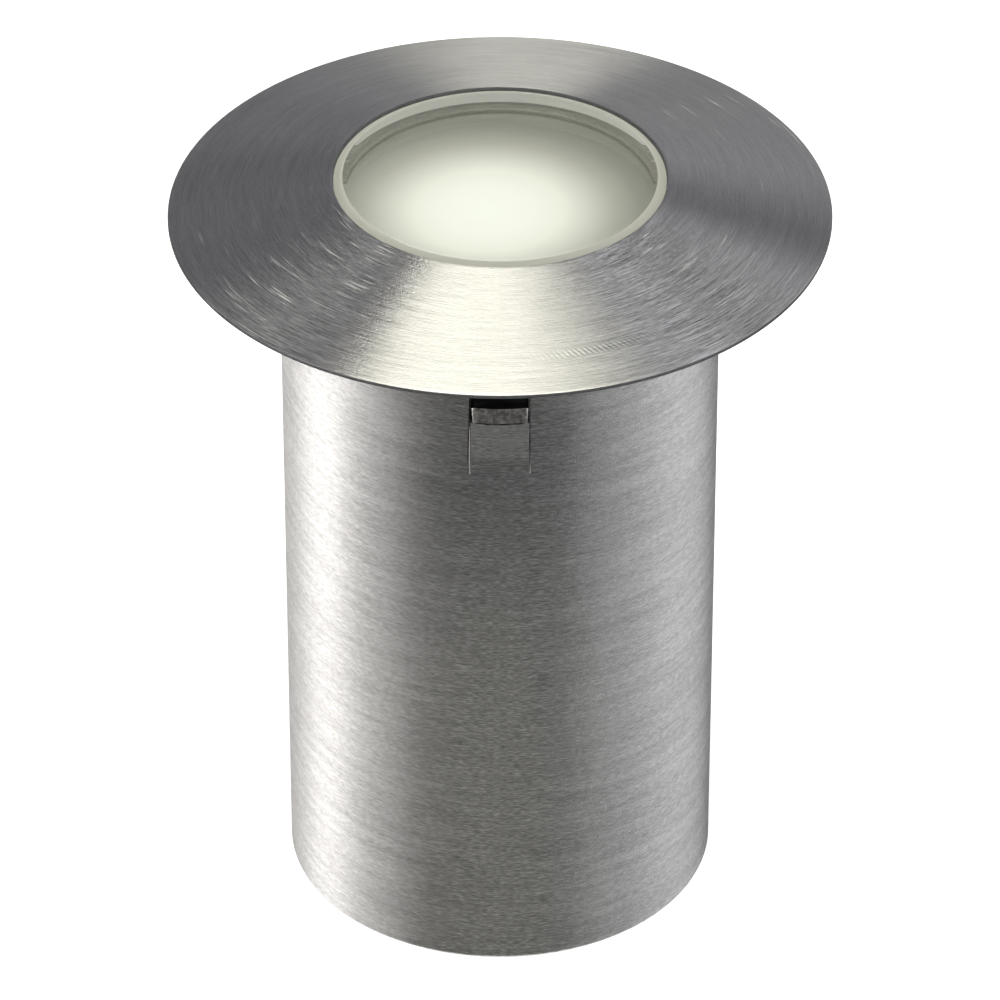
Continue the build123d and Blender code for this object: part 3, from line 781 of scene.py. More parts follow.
@dataclass(frozen=True)
class BrushedSteel:
    """Stainless steel with marks round the lamp's axis."""

    name: str
    brushing: Brushing
    around: float = 27.0
    pitch: float = 5200.0
    lean: float = 0.0
    long_marks: float = 0.3
    blotches: float = 0.3
    contrast: float = 0.18
    dark: Colour = (0.43, 0.43, 0.435)
    light: Colour = (0.76, 0.76, 0.765)
    roughness: float = 0.44
    roughness_swing: float = 0.08
    anisotropy: float = 0.95
    relief: float = 0.02
    grit: float = 1.0
    scratch_share: float = 0.0
    # Sectors where the marks' colour swings harder: painted glints and shade
    painted_glint_sectors: tuple[Triple, ...] = ()
    # Low height, high height and gain of a painted sheen above a height
    painted_sheen_band: Triple | None = None
    chattered: bool = False

    def make(self) -> Material:
        """Builds the material.

        Returns:
            The finished material.
        """
        material, bench, shader = new_material(self.name)
        place = bench.object_place()
        marks = bench.add(
            "ShaderNodeGroup",
            {
                "Vector": place,
                "Around": self.around,
                "Pitch": self.pitch,
                "Outwards": self.brushing.value,
                "Lean": self.lean,
                "Long Marks": self.long_marks,
                "Blotches": self.blotches,
                "Grit": self.grit,
            },
            node_tree=ROUND_MARKS,
        ).outputs
        tone = bench.remap(marks["Tone"], 0.5 - self.contrast, 0.5 + self.contrast)
        colour = bench.blend_colour(tone, self.dark, self.light)
        rough = bench.swing(tone, self.roughness, self.roughness_swing)
        metallic: object = 1.0
        # Painted glints and shade: the marks' colour swings harder in a few sectors
        if self.painted_glint_sectors:
            colour = self.paint_glints(bench, place, marks["Fine"], colour)
        if self.chattered:
            colour = self.lay_chatter(bench, place, colour)
        # Painted sheen: the colour is brightened above a height
        if self.painted_sheen_band:
            colour = self.paint_sheen_band(bench, place, colour)
        # Scratches are real wear; the faint haze in the same sectors is a painted sheen
        if self.scratch_share:
            wear_and_sheen = self.lay_wear_and_sheen(bench, place)
            colour = bench.blend_colour(wear_and_sheen, colour, SCRATCH_AND_SHEEN_COLOUR)
            metallic = bench.maths("MULTIPLY_ADD", wear_and_sheen, -SCRATCH_MATT, 1.0)
            rough = bench.maths("MULTIPLY_ADD", wear_and_sheen, SCRATCH_ROUGH, rough)
        bench.fill(
            shader,
            {
                "Base Color": colour,
                "Metallic": metallic,
                "Roughness": rough,
                "Anisotropic": self.anisotropy,
                "Anisotropic Rotation": ANISOTROPIC_TURN,
                "Normal": bench.bump(1.0, self.relief, marks["Height"]),
                "Tangent": self.tangent(bench, place),
            },
        )
        return material

    def scale_colour(
        self, bench: NodeBench, colour: Socket, gain: Socket
    ) -> Socket:
        """Multiplies a colour by a value, up to the colour of clean steel."""
        return bench.vector_maths("MINIMUM", bench.scale(colour, gain), CLEAN_STEEL).outputs[0]

    def sectors(
        self, bench: NodeBench, place: Socket, spans: tuple[Triple, ...]
    ) -> Socket:
        """Adds up soft sectors round the lamp's axis.

        Args:
            bench: The bench of the material.
            place: The point, in Object coordinates.
            spans: The middle, the half width and the strength of each sector, with angles in degrees.

        Returns:
            The sum at the point.
        """
        _, _, angle, _ = round_place(bench, place)
        total: object = 0.0
        for middle, half_width, strength in spans:
            away = bench.maths("ABSOLUTE", bench.maths("SUBTRACT", angle, radians(middle)))
            sector = bench.remap(away, radians(half_width), 0.0, 0.0, strength, soft=True)
            total = bench.maths("ADD", total, sector)
        return total

    def paint_glints(
        self,
        bench: NodeBench,
        place: Socket,
        tone: Socket,
        colour: Socket,
    ) -> Socket:
        """Paints the marks lighter and darker in the sectors where the light rakes them: painted glints and
        shade.

        Returns:
            The colour with the painted glints and shade.
        """
        gain = self.sectors(bench, place, self.painted_glint_sectors)
        swing = bench.maths("MULTIPLY", bench.maths("SUBTRACT", tone, 0.5), gain)
        return self.scale_colour(bench, colour, bench.maths("ADD", swing, 1.0))

    def lay_chatter(
        self, bench: NodeBench, place: Socket, colour: Socket
    ) -> Socket:
        """Draws the short trail of slanted strokes where the turning tool chattered.

        Returns:
            The colour with the strokes.
        """
        _, radius, angle, _ = round_place(bench, place)
        middle_r, half_r = CHATTER_RADIUS
        middle, half = CHATTER_ANGLE
        inside = 1.0
        for value, centre, reach in (
            (radius, middle_r * MM, half_r * MM),
            (angle, radians(middle), radians(half)),
        ):
            away = bench.maths("ABSOLUTE", bench.maths("SUBTRACT", value, centre))
            inside = bench.maths("MULTIPLY", inside, bench.remap(away, reach, 0.0, soft=True))
        turn = tau / (CHATTER_STEP * MM)
        slant = bench.maths("MULTIPLY", radius, turn * CHATTER_SLANT)
        phase = bench.maths("MULTIPLY_ADD", angle, middle_r * MM * turn, slant)
        depth = bench.maths("MULTIPLY", inside, CHATTER_DEPTH)
        swing = bench.maths("MULTIPLY", bench.maths("SINE", phase), depth)
        return self.scale_colour(bench, colour, bench.maths("ADD", swing, 1.0))

    def paint_sheen_band(
        self, bench: NodeBench, place: Socket, colour: Socket
    ) -> Socket:
        """Brightens the steel above a height: a painted sheen for the light that the bent tongue catches.

        Returns:
            The brightened colour.
        """
        low_z, high_z, gain = self.painted_sheen_band
        height, _, _, _ = round_place(bench, place)
        sheen_gain = bench.remap(height, low_z * MM, high_z * MM, 1.0, gain, soft=True)
        return self.scale_colour(bench, colour, sheen_gain)

    def lay_wear_and_sheen(self, bench: NodeBench, place: Socket) -> Socket:
        """Masks the stray scratches, thickest in a few sectors, and a painted sheen that lightens those
        sectors and makes them a little matt.

        Returns:
            The mask.
        """
        wear_and_sheen_weight = self.sectors(bench, place, WEAR_AND_SHEEN_SECTORS)
        share = bench.maths("MULTIPLY", bench.maths("ADD", wear_and_sheen_weight, STRAY_SHARE), self.scratch_share)
        scratches = bench.add("ShaderNodeGroup", {"Vector": place, "Share": share}, node_tree=SCRATCHES)
        # Painted sheen: a faint lighter, matter haze in the sectors
        painted_haze = bench.maths("MULTIPLY", bench.maths("MULTIPLY", wear_and_sheen_weight, wear_and_sheen_weight), PAINTED_SHEEN_HAZE)
        return bench.maths("MAXIMUM", painted_haze, scratches.outputs["Mask"])

    def tangent(self, bench: NodeBench, place: Socket) -> Socket:
        """Works out the shine's direction, which runs round the lamp's axis.

        Returns:
            The direction, in World coordinates.
        """
        parts = bench.add("ShaderNodeSeparateXYZ", {"Vector": place})
        back = bench.maths("MULTIPLY", parts.outputs["Y"], -1.0)
        round_axis = bench.add("ShaderNodeCombineXYZ", {"X": back, "Y": parts.outputs["X"]})
        return bench.add(
            "ShaderNodeVectorTransform",
            {"Vector": bench.vector_maths("NORMALIZE", round_axis.outputs[0]).outputs[0]},
            vector_type="VECTOR",
            convert_from="OBJECT",
            convert_to="WORLD",
        ).outputs[0]


@dataclass(frozen=True)
class ShearedSteel:
    """Cut edge of the tube wall, with the lines that the press tool drags through its thickness."""

    name: str
    dark: Colour = (0.36, 0.355, 0.345)
    light: Colour = (0.86, 0.85, 0.83)
    roughness: float = 0.5
    roughness_swing: float = 0.15
    lines: float = 4200.0
    line_share: float = 0.35
    patches: float = 2600.0
    patch_share: float = 0.95
    tone_range: Pair = (0.48, 0.82)
    relief: float = 0.03

    def make(self) -> Material:
        """Builds the material.

        Returns:
            The finished material.
        """
        material, bench, shader = new_material(self.name)
        place = bench.object_place()
        _, radius, angle, _ = round_place(bench, place)
        across = bench.maths("MULTIPLY", angle, radius)
        drag = streaks(bench, (0.0, 0.0, 0.0), across, 0.0, self.lines, detail=2.0)
        patches = bench.grain(place, self.patches, 2.0)
        lined = bench.maths("MULTIPLY", drag, self.line_share)
        mixed = bench.maths("MULTIPLY_ADD", patches, self.patch_share, lined)
        tone = bench.remap(mixed, *self.tone_range)
        bench.fill(
            shader,
            {
                "Base Color": bench.blend_colour(tone, self.dark, self.light),
                "Metallic": 1.0,
                "Roughness": bench.maths("MULTIPLY_ADD", tone, self.roughness_swing, self.roughness),
                "Normal": bench.bump(1.0, self.relief, mixed),
            },
        )
        return material


@dataclass(frozen=True)
class Moulded:
    """Plastic, rubber, paint, foil or bare metal with a fine even grain."""

    name: str
    colour: Colour
    shade: float = 0.25
    roughness: float = 0.5
    roughness_swing: float = 0.12
    metallic: float = 0.0
    scale: float = 3500.0
    relief: float = 0.01
    tone_range: Pair = (0.3, 0.7)
    bump_strength: float = 0.6

    def make(self) -> Material:
        """Builds the material.

        Returns:
            The finished material.
        """
        material, bench, shader = new_material(self.name)
        grain = speckle(bench, bench.object_place(), self.scale)
        tone = bench.remap(grain["Tone"], *self.tone_range)
        deep = tuple(value * (1 - self.shade) for value in self.colour)
        bench.fill(
            shader,
            {
                "Base Color": bench.blend_colour(tone, deep, self.colour),
                "Metallic": self.metallic,
                "Roughness": bench.swing(tone, self.roughness, self.roughness_swing),
                "Normal": bench.bump(self.bump_strength, self.relief, grain["Height"]),
            },
        )
        return material


@dataclass(frozen=True)
class Glass:
    """Clear or ground glass with a slight green cast, and a painted glow where one is given."""

    name: str
    colour: Colour
    roughness: float
    relief: float
    clearness: float = 1.0
    # Strength of a painted glow, for lamp light that ground glass scatters
    glow: float = 0.0
    grain_scale: float = 6000.0
    shade: float = 0.03
    glow_shade: float = 0.2
    refraction: float = 1.5
    bump_strength: float = 0.6

    def shaded(self, shade: float) -> Colour:
        """Gives the glass's colour, darker by a share."""
        return tuple(value * (1 - shade) for value in self.colour)

    def make(self) -> Material:
        """Builds the material.

        Returns:
            The finished material.
        """
        material, bench, shader = new_material(self.name)
        grain = speckle(bench, bench.object_place(), self.grain_scale)
        tone = grain["Tone"]
        values = {
            "Base Color": bench.blend_colour(tone, self.shaded(self.shade), self.colour),
            "Roughness": self.roughness,
            "Transmission Weight": self.clearness,
            "IOR": self.refraction,
        }
        # Painted glow: emission for lamp light scattered inside the glass
        if self.glow:
            values["Emission Color"] = bench.blend_colour(tone, self.shaded(self.glow_shade), self.colour)
            values["Emission Strength"] = self.glow
        if self.relief:
            values["Normal"] = bench.bump(self.bump_strength, self.relief, grain["Height"])
        bench.fill(shader, values)
        return material


@dataclass(frozen=True)
class LitDiffuser:
    """Frosted disc lit from below: bright in the middle, dim towards its edge."""

    name: str
    radius: float
    # Middle of the glow, painted off the axis towards the front, where forward scatter looks brightest
    hot_spot: Pair = (-1.0, -2.4)
    tint: Colour = (0.98, 1.0, 0.90)
    rim_tint: Colour = (1.0, 1.0, 0.84)
    falloff: tuple[Pair, ...] = (
        (0.0, 1.02),
        (0.28, 0.98),
        (0.45, 0.88),
        (0.6, 0.62),
        (0.75, 0.37),
        (0.9, 0.21),
        (1.0, 0.15),
    )

    unlit_dark: Colour = (0.13, 0.13, 0.12)
    unlit_light: Colour = (0.19, 0.19, 0.175)
    roughness: float = 0.6
    grain_scale: float = 3500.0
    jitter: float = 0.06

    def make(self) -> Material:
        """Builds the material.

        Returns:
            The finished material.
        """
        material, bench, shader = new_material(self.name)
        place = bench.object_place()
        middle = (self.hot_spot[0] * MM, self.hot_spot[1] * MM, 0.0)
        parts = bench.add(
            "ShaderNodeSeparateXYZ", {"Vector": bench.vector_maths("SUBTRACT", place, middle).outputs[0]}
        )
        flat = bench.add("ShaderNodeCombineXYZ", {"X": parts.outputs["X"], "Y": parts.outputs["Y"]})
        radius = bench.vector_maths("LENGTH", flat.outputs[0]).outputs["Value"]
        share = bench.maths("DIVIDE", radius, self.radius * MM)
        tone = speckle(bench, place, self.grain_scale)["Tone"]
        jitter = bench.maths("MULTIPLY_ADD", bench.maths("SUBTRACT", tone, 0.5), self.jitter, share)
        tints = list(zip(self.tint, self.rim_tint))
        stops = [
            (at, tuple(level * (inner * (1 - at) + outer * at) for inner, outer in tints))
            for at, level in self.falloff
        ]
        bench.fill(
            shader,
            {
                "Emission Color": bench.ramp(jitter, stops),
                "Emission Strength": 1.0,
                "Base Color": bench.blend_colour(tone, self.unlit_dark, self.unlit_light),
                "Roughness": self.roughness,
            },
        )
        return material


class Finishes:
    """All the finishes of the lamp, each made once."""

    def __init__(self) -> None:
        tube = BrushedSteel(
            "brushed_tube",
            Brushing.UP,
            around=32.0,
            pitch=10500.0,
            lean=0.03,
            dark=(0.46, 0.46, 0.465),
            light=(0.74, 0.74, 0.745),
            roughness=0.56,
            roughness_swing=0.06,
            anisotropy=0.85,
            # Painted glints and shade in the front sector
            painted_glint_sectors=((0.0, 30.0, 1.4),),
        )
        self.tube = tube.make()
        # The tongue's colour carries a painted sheen above its bend
        self.tongue = replace(tube, name="pressed_tongue", painted_sheen_band=(56.2, 58.0, 1.28)).make()
        self.turned = BrushedSteel(
            "turned_steel",
            Brushing.OUT,
            around=32.0,
            pitch=15000.0,
            long_marks=0.6,
            dark=(0.50, 0.50, 0.505),
            light=(0.69, 0.69, 0.695),
            roughness=0.315,
            roughness_swing=0.05,
            anisotropy=1.0,
            relief=0.03,
            grit=0.28,
            scratch_share=1.0,
            # Painted glints and shade in the front-left and front-right sectors
            painted_glint_sectors=((-44.0, 30.0, 3.2), (42.0, 32.0, 3.6)),
            chattered=True,
        ).make()
        # Dark steel for the bezel's upright walls: painted shade
        self.upright_painted_shade = Moulded("painted_shade_steel", (0.24, 0.245, 0.265), metallic=0.7, scale=2500.0).make()
        self.sheared = ShearedSteel("sheared_steel").make()
        # Near black: a painted shadow line along the tongue's burr
        self.burr_shadow = Moulded(
            "painted_burr_shadow", (0.04, 0.04, 0.04), roughness=0.6, metallic=1.0, scale=2500.0
        ).make()
        # Near white and almost matt: a painted glint on the window's side edges
        self.painted_glint_edge = Moulded(
            "painted_glint_edge", (0.90, 0.90, 0.88), roughness=0.4, metallic=0.15, scale=2500.0
        ).make()
        self.collar = BrushedSteel(
            "collar_steel",
            Brushing.UP,
            around=6.0,
            dark=(0.55, 0.56, 0.57),
            light=(0.74, 0.75, 0.76),
            roughness=0.42,
            anisotropy=0.7,
            relief=0.006,
        ).make()
        self.can = BrushedSteel(
            "anodised_can",
            Brushing.UP,
            around=5.0,
            pitch=4200.0,
            dark=(0.13, 0.135, 0.14),
            light=(0.21, 0.215, 0.225),
            roughness=0.40,
            anisotropy=0.6,
            relief=0.006,
        ).make()
        self.clear = Glass("clear_glass", (0.97, 0.985, 0.965), 0.0, 0.0).make()
        self.ground = Glass("ground_glass", (0.70, 0.71, 0.66), 0.6, 0.02, clearness=0.5).make()
        # The ground rim glows with painted light, for the lamp's light that the ground glass scatters
        self.ground_side_painted_glow = Glass(
            "ground_side_painted_glow", (0.85, 0.86, 0.80), 0.6, 0.02, clearness=0.2, glow=0.24
        ).make()
        self.diffuser = LitDiffuser("frosted", 15.0).make()
        self.gasket = Moulded("clear_rubber", (0.46, 0.46, 0.42), roughness=0.45).make()
        self.rubber = Moulded("black_rubber", (0.022, 0.022, 0.022), roughness=0.62, relief=0.02).make()
        self.plastic = Moulded("black_plastic", (0.035, 0.035, 0.036), roughness=0.45).make()
        self.aluminium = Moulded("bare_aluminium", (0.70, 0.70, 0.71), roughness=0.35, metallic=1.0).make()
        self.white = Moulded("reflector_white", (0.82, 0.82, 0.80), shade=0.06, roughness=0.35).make()
        self.emitter = Moulded("emitter", (0.85, 0.66, 0.12), shade=0.15, roughness=0.25).make()
        self.board_white = Moulded("board_white", (0.78, 0.79, 0.77), shade=0.08, roughness=0.4).make()
        self.board_green = Moulded("board_green", (0.03, 0.16, 0.07), roughness=0.35).make()
        self.screw = Moulded("screw_steel", (0.55, 0.54, 0.52), roughness=0.3, metallic=1.0).make()
        self.brass = Moulded("contact_brass", (0.72, 0.52, 0.24), roughness=0.3, metallic=1.0).make()
        self.socket = Moulded("socket_shell", (0.62, 0.62, 0.63), roughness=0.28, metallic=1.0).make()
        self.wrap = Moulded("cell_wrap", (0.05, 0.16, 0.42), shade=0.15, roughness=0.3).make()
        self.lead_red = Moulded("lead_red", (0.45, 0.02, 0.015), shade=0.15, roughness=0.42).make()
        self.lead_black = Moulded("lead_black", (0.02, 0.02, 0.02), shade=0.2, roughness=0.42).make()
        self.button = Moulded("button_rubber", (0.05, 0.052, 0.055), roughness=0.58, relief=0.02).make()


def dress(piece: Piece, *materials: Material) -> None:
    """Gives a piece its materials, in the order of its slots.

    Args:
        piece: The object to dress.
        materials: The materials.
    """
    piece.data.materials.clear()
    for material in materials:
        piece.data.materials.append(material)


def dress_node(name: str, material: Material) -> None:
    """Gives a solid of the frame a better material.

    Args:
        name: The node's name.
        material: The material for all of its slots.
    """
    node = frame["nodes"][name]
    for slot in node.material_slots:
        slot.material = material


def place_piece(piece: Piece, body: Body, slot: str, *nodes: str) -> None:
    """Ties a finished piece to its body and hides the solids that it stands for.

    Args:
        piece: The finished object.
        body: The body that it moves with.
        slot: The record's material slot; not used.
        nodes: The solids that it replaces.
    """
    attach(piece, body.value)
    if nodes:
        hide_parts(*nodes)
    log.info("%s rides on %s", piece.name, body.value)


def finish_piece(
    piece: Piece,
    look: Material,
    body: Body,
    slot: str,
    node: str,
    angle: float = SMOOTH_ANGLE,
) -> None:
    """Smooths a piece of one material, dresses it and places it.

    Args:
        piece: The finished object.
        look: Its material.
        body: The body that it moves with.
        slot: The record's material slot.
        node: The solid that it replaces.
        angle: Edges that turn by more than this stay sharp.
    """
    smooth(piece, angle)
    dress(piece, look)
    place_piece(piece, body, slot, node)


# Sub-assemblies


@dataclass
class Head:
    """The turned bezel with the glass stack in its opening."""

    finishes: Finishes
    rim_r: float = 30.0
    opening_r: float = OPENING_R
    underside_z: float = 70.0
    rim_top_z: float = 70.4
    top_z: float = 74.03
    rim_chamfer: float = 0.08
    edge_break: float = 0.06
    glass_r: float = 15.02
    glass_z: float = 70.03
    glass_bevel_width: float = 0.85
    glass_bevel_height: float = 0.36
    glass_lower_bevel: float = 0.35
    glass_edge: float = 0.03
    glass_smooth: float = 12.0
    clear_above: float = 0.97
    ground_above: float = 0.3
    gasket_z: float = 69.53
    gasket_edge: float = 0.12
    window_r: float = WINDOW_R
    diffuser_z: float = 68.03
    diffuser_chamfer: float = 0.2

    def build(self) -> None:
        """Builds and places every piece of the head."""
        self.build_bezel()
        self.build_glass()
        self.build_gasket()
        self.build_diffuser()

    def build_bezel(self) -> None:
        """Turns the bezel."""
        bezel = turned(
            "bezel_ring",
            [
                (self.opening_r, self.underside_z),
                (self.rim_r - self.rim_chamfer, self.underside_z),
                (self.rim_r, self.underside_z + self.rim_chamfer),
                (self.rim_r, self.rim_top_z),
                (self.opening_r, self.top_z),
            ],
            steps=BEZEL_STEPS,
        )
        break_edges(bezel, self.edge_break)
        smooth(bezel)
        dress(bezel, self.finishes.turned, self.finishes.upright_painted_shade)
        # Upright faces, the rim's outer wall and the bore, take the dark steel: painted shade
        for face in bezel.data.polygons:
            face.material_index = 1 if abs(face.normal.z) < 0.5 else 0
        place_piece(bezel, Body.INSERT, "turned_steel", "bezel")

    def build_glass(self) -> None:
        """Turns the glass, clear on its faces and ground on its bevels and rim, with a painted glow on the
        rim.
        """
        glass = turned(
            "glass_disc",
            [
                (0.0, self.glass_z),
                (self.glass_r - self.glass_lower_bevel, self.glass_z),
                (self.glass_r, self.glass_z + self.glass_lower_bevel),
                (self.glass_r, self.top_z - self.glass_bevel_height),
                (self.glass_r - self.glass_bevel_width, self.top_z),
                (0.0, self.top_z),
            ],
        )
        break_edges(glass, self.glass_edge, segments=1, angle=20.0)
        smooth(glass, radians(self.glass_smooth))
        dress(glass, self.finishes.clear, self.finishes.ground, self.finishes.ground_side_painted_glow)
        for face in glass.data.polygons:
            upright = abs(face.normal.z)
            face.material_index = 0 if upright > self.clear_above else 1 if upright > self.ground_above else 2
        place_piece(glass, Body.INSERT, "clear_glass", "glass_lens")

    def build_gasket(self) -> None:
        """Turns the gasket ring under the glass."""
        gasket = turned(
            "lens_gasket_ring",
            [
                (self.window_r, self.gasket_z),
                (self.glass_r, self.gasket_z),
                (self.glass_r, self.glass_z),
                (self.window_r, self.glass_z),
            ],
        )
        break_edges(gasket, self.gasket_edge, segments=3)
        finish_piece(gasket, self.finishes.gasket, Body.INSERT, "clear_rubber", "lens_gasket")

    def build_diffuser(self) -> None:
        """Turns the frosted disc."""
        diffuser = turned(
            "diffuser_disc",
            [
                (0.0, self.diffuser_z),
                (self.glass_r - self.diffuser_chamfer, self.diffuser_z),
                (self.glass_r, self.diffuser_z + self.diffuser_chamfer),
                (self.glass_r, self.gasket_z),
                (0.0, self.gasket_z),
            ],
        )
        finish_piece(diffuser, self.finishes.diffuser, Body.INSERT, "frosted", "diffuser")


@dataclass
class Sleeve:
    """The brushed tube with its windows and the spring tongues lanced out of it."""

    finishes: Finishes
    outer_r: float = SLEEVE_R
    inner_r: float = 18.5
    length: float = SLEEVE_TOP_Z
    end_break: float = 0.15
    tongue_width: float = 5.15
    kerf: float = 0.06
    window_break: float = 0.1
    hinge_z: float = 56.3
    tongue_tip: float = 7.05
    window_top_z: float = 63.57
    bend_angle: float = 25.5
    bend_reach: float = 1.2
    corner_r: float = 0.35
    burr_height: float = 0.20
    burr_swing: float = 0.12
    burr_wave: float = 2.2
    tongue_edge: float = 0.04
    tongues: tuple[tuple[Body, float], ...] = (
        (Body.TONGUE_FRONT, -90.0),
        (Body.TONGUE_RIGHT, 30.0),
        (Body.TONGUE_LEFT, 150.0),
    )

    def build(self) -> None:
        """Builds and places the tube and its tongues."""
        self.build_tube()
        for body, angle in self.tongues:
            self.build_tongue(body, angle)

    def build_tube(self) -> None:
        """Turns the tube and cuts the windows."""
        tube = turned(
            "sleeve_tube",
            [
                (self.inner_r, 0.0),
                (self.outer_r, 0.0),
                (self.outer_r, self.hinge_z - self.bend_reach - 0.3),
                (self.outer_r, self.window_top_z + 0.3),
                (self.outer_r, self.length),
                (self.inner_r, self.length),
            ],
            steps=TUBE_STEPS,
        )
        break_edges(tube, self.end_break, angle=SQUARE_EDGE)
        for _, angle in self.tongues:
            half = self.tongue_width / 2 + self.kerf
            cutter = block(
                "window_cutter",
                Vector((self.inner_r - 2 * OVERRUN, -half, self.hinge_z - self.bend_reach)),
                Vector((self.outer_r + 2 * OVERRUN, half, self.window_top_z)),
            )
            turn_about_axis(cutter, angle)
            cut_away(tube, cutter)
        break_edges(tube, self.window_break, angle=SQUARE_EDGE, held=False)
        smooth(tube)
        dress(tube, self.finishes.tube, self.finishes.sheared, self.finishes.painted_glint_edge)
        for face in tube.data.polygons:
            face.material_index = self.window_slot(face)
        place_piece(tube, Body.SLEEVE, "brushed_tube", "mounting_sleeve")

    def window_slot(self, face: bpy.types.MeshPolygon) -> int:
        """Finds the material slot of one of the tube's faces.

        Args:
            face: The face.

        Returns:
            2 on the broken side edges of a window, which get a painted glint, 1 on its cut faces and 0
            elsewhere.
        """
        low, high = self.hinge_z - self.bend_reach, self.window_top_z
        if not low < face.center.z / MM < high + 0.2:
            return 0
        for _, angle in self.tongues:
            outwards, aside = radial_axes(angle)
            beside = abs(face.center.dot(aside)) / MM > self.tongue_width / 2 + 0.4
            if beside or face.center.dot(outwards) < 0:
                continue
            turned_aside, turned_out = abs(face.normal.dot(aside)), face.normal.dot(outwards)
            # Side edges of a window: painted glint
            if turned_aside > 0.2 and turned_out > 0.2:
                return 2
            if turned_aside > 0.9 or abs(face.normal.z) > 0.9:
                return 1
        return 0

    def bent(self, along: float, depth: float) -> Pair:
        """Bends a flat strip's point out about the fold.

        Args:
            along: Distance above the start of the bend, measured on the outer face.
            depth: Distance behind the outer face.

        Returns:
            The point's distance from the lamp's axis and its height, in millimetres.
        """
        start_z = self.hinge_z - self.bend_reach
        full = radians(self.bend_angle)
        bend_r = self.bend_reach / tan(full / 2)
        arc = bend_r * full
        turn = min(max(along, 0.0), arc) / bend_r
        out = bend_r * (1 - cos(turn))
        up = bend_r * sin(turn)
        if along < 0.0:
            up = along
        elif along > arc:
            out += (along - arc) * sin(full)
            up += (along - arc) * cos(full)
        return self.outer_r + out - depth * cos(turn), start_z + up + depth * sin(turn)

    def build_tongue(self, body: Body, angle: float) -> None:
        """Shapes one tongue from a straight strip.

        Args:
            body: The body whose solid the tongue replaces and whose name it takes.
            angle: Where it stands round the lamp's axis, in degrees.
        """
        arc = self.bend_reach / tan(radians(self.bend_angle) / 2) * radians(self.bend_angle)
        strip_length = arc + self.tongue_tip - self.bend_reach
        half = self.tongue_width / 2
        strip = block(
            body.value + "_strip",
            Vector((0.0, -half, 0.0)),
            Vector((self.outer_r - self.inner_r, half, strip_length)),
        )
        burr_z = strip_length - self.burr_height
        cuts = [arc * (step + 1) / TONGUE_BEND_ROWS for step in range(TONGUE_BEND_ROWS)]
        cuts += [strip_length - 1.5, strip_length - 0.7, burr_z]
        with edit_mode(strip):
            for height in cuts:
                bpy.ops.mesh.select_all(action="SELECT")
                bpy.ops.mesh.bisect(plane_co=(0.0, 0.0, height * MM), plane_no=(0.0, 0.0, 1.0))
            for step in range(1, TONGUE_COLUMNS):
                across = -half + self.tongue_width * step / TONGUE_COLUMNS
                bpy.ops.mesh.select_all(action="SELECT")
                bpy.ops.mesh.bisect(plane_co=(0.0, across * MM, 0.0), plane_no=(0.0, 1.0, 0.0))
        for vertex in strip.data.vertices:
            depth, across, along = vertex.co / MM
            rough = noise.noise(Vector((across * self.burr_wave, angle, 0.0))) * self.burr_swing
            inside = abs(across) < half - self.corner_r - 0.1
            if abs(along - burr_z) < WELD / MM and depth < WELD / MM:
                along += rough if inside else self.burr_height * 0.8
            side = abs(across) - (half - self.corner_r)
            if along > strip_length - WELD / MM and side > 0:
                along = strip_length - self.corner_r + (max(self.corner_r**2 - side**2, 0.0)) ** 0.5
            lag = self.outer_r - (self.outer_r**2 - across**2) ** 0.5
            wall_lag = self.inner_r - (self.inner_r**2 - across**2) ** 0.5
            behind = depth / (self.outer_r - self.inner_r)
            deep = lag + (self.outer_r - self.inner_r + wall_lag - lag) * behind
            out, up = self.bent(along, deep)
            vertex.co = Vector((out, across, up)) * MM
        clean_shell(strip)
        turn_about_axis(strip, angle)
        self.dress_tongue(strip, angle, burr_z)
        break_edges(strip, self.tongue_edge, angle=40.0)
        smooth(strip)
        low_out, low_up = self.bent(0.0, 0.0)
        high_out, high_up = self.bent(arc, 0.0)
        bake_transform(strip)
        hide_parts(body.value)
        log.info("%s bends between the sleeve and %s", strip.name, body.value)

    def dress_tongue(self, strip: Piece, angle: float, burr_z: float) -> None:
        """Dresses a tongue: brushed on its faces, sheared on its cut edges, with a painted shadow line along
        the burr.

        Args:
            strip: The tongue.
            angle: Where it stands round the lamp's axis, in degrees.
            burr_z: Where the burr's painted shadow starts along the strip.
        """
        full = radians(self.bend_angle)
        outwards, aside = radial_axes(angle)
        up_strip = outwards * sin(full) + UPWARDS * cos(full)
        face_normal = outwards * cos(full) - UPWARDS * sin(full)
        burr_out, burr_up = self.bent(burr_z - self.burr_swing, 0.0)
        burr_shadow_start = up_strip.dot(outwards * burr_out + UPWARDS * burr_up) * MM
        dress(strip, self.finishes.tongue, self.finishes.sheared, self.finishes.burr_shadow)
        for face in strip.data.polygons:
            flat = abs(face.normal.dot(face_normal)) > 0.9
            if face.normal.dot(up_strip) > 0.7 or abs(face.normal.dot(aside)) > 0.7:
                face.material_index = 1
            # The band of the outer face above the burr gets the painted shadow
            elif flat and face.normal.dot(outwards) > 0 and up_strip.dot(face.center) > burr_shadow_start:
                face.material_index = 2


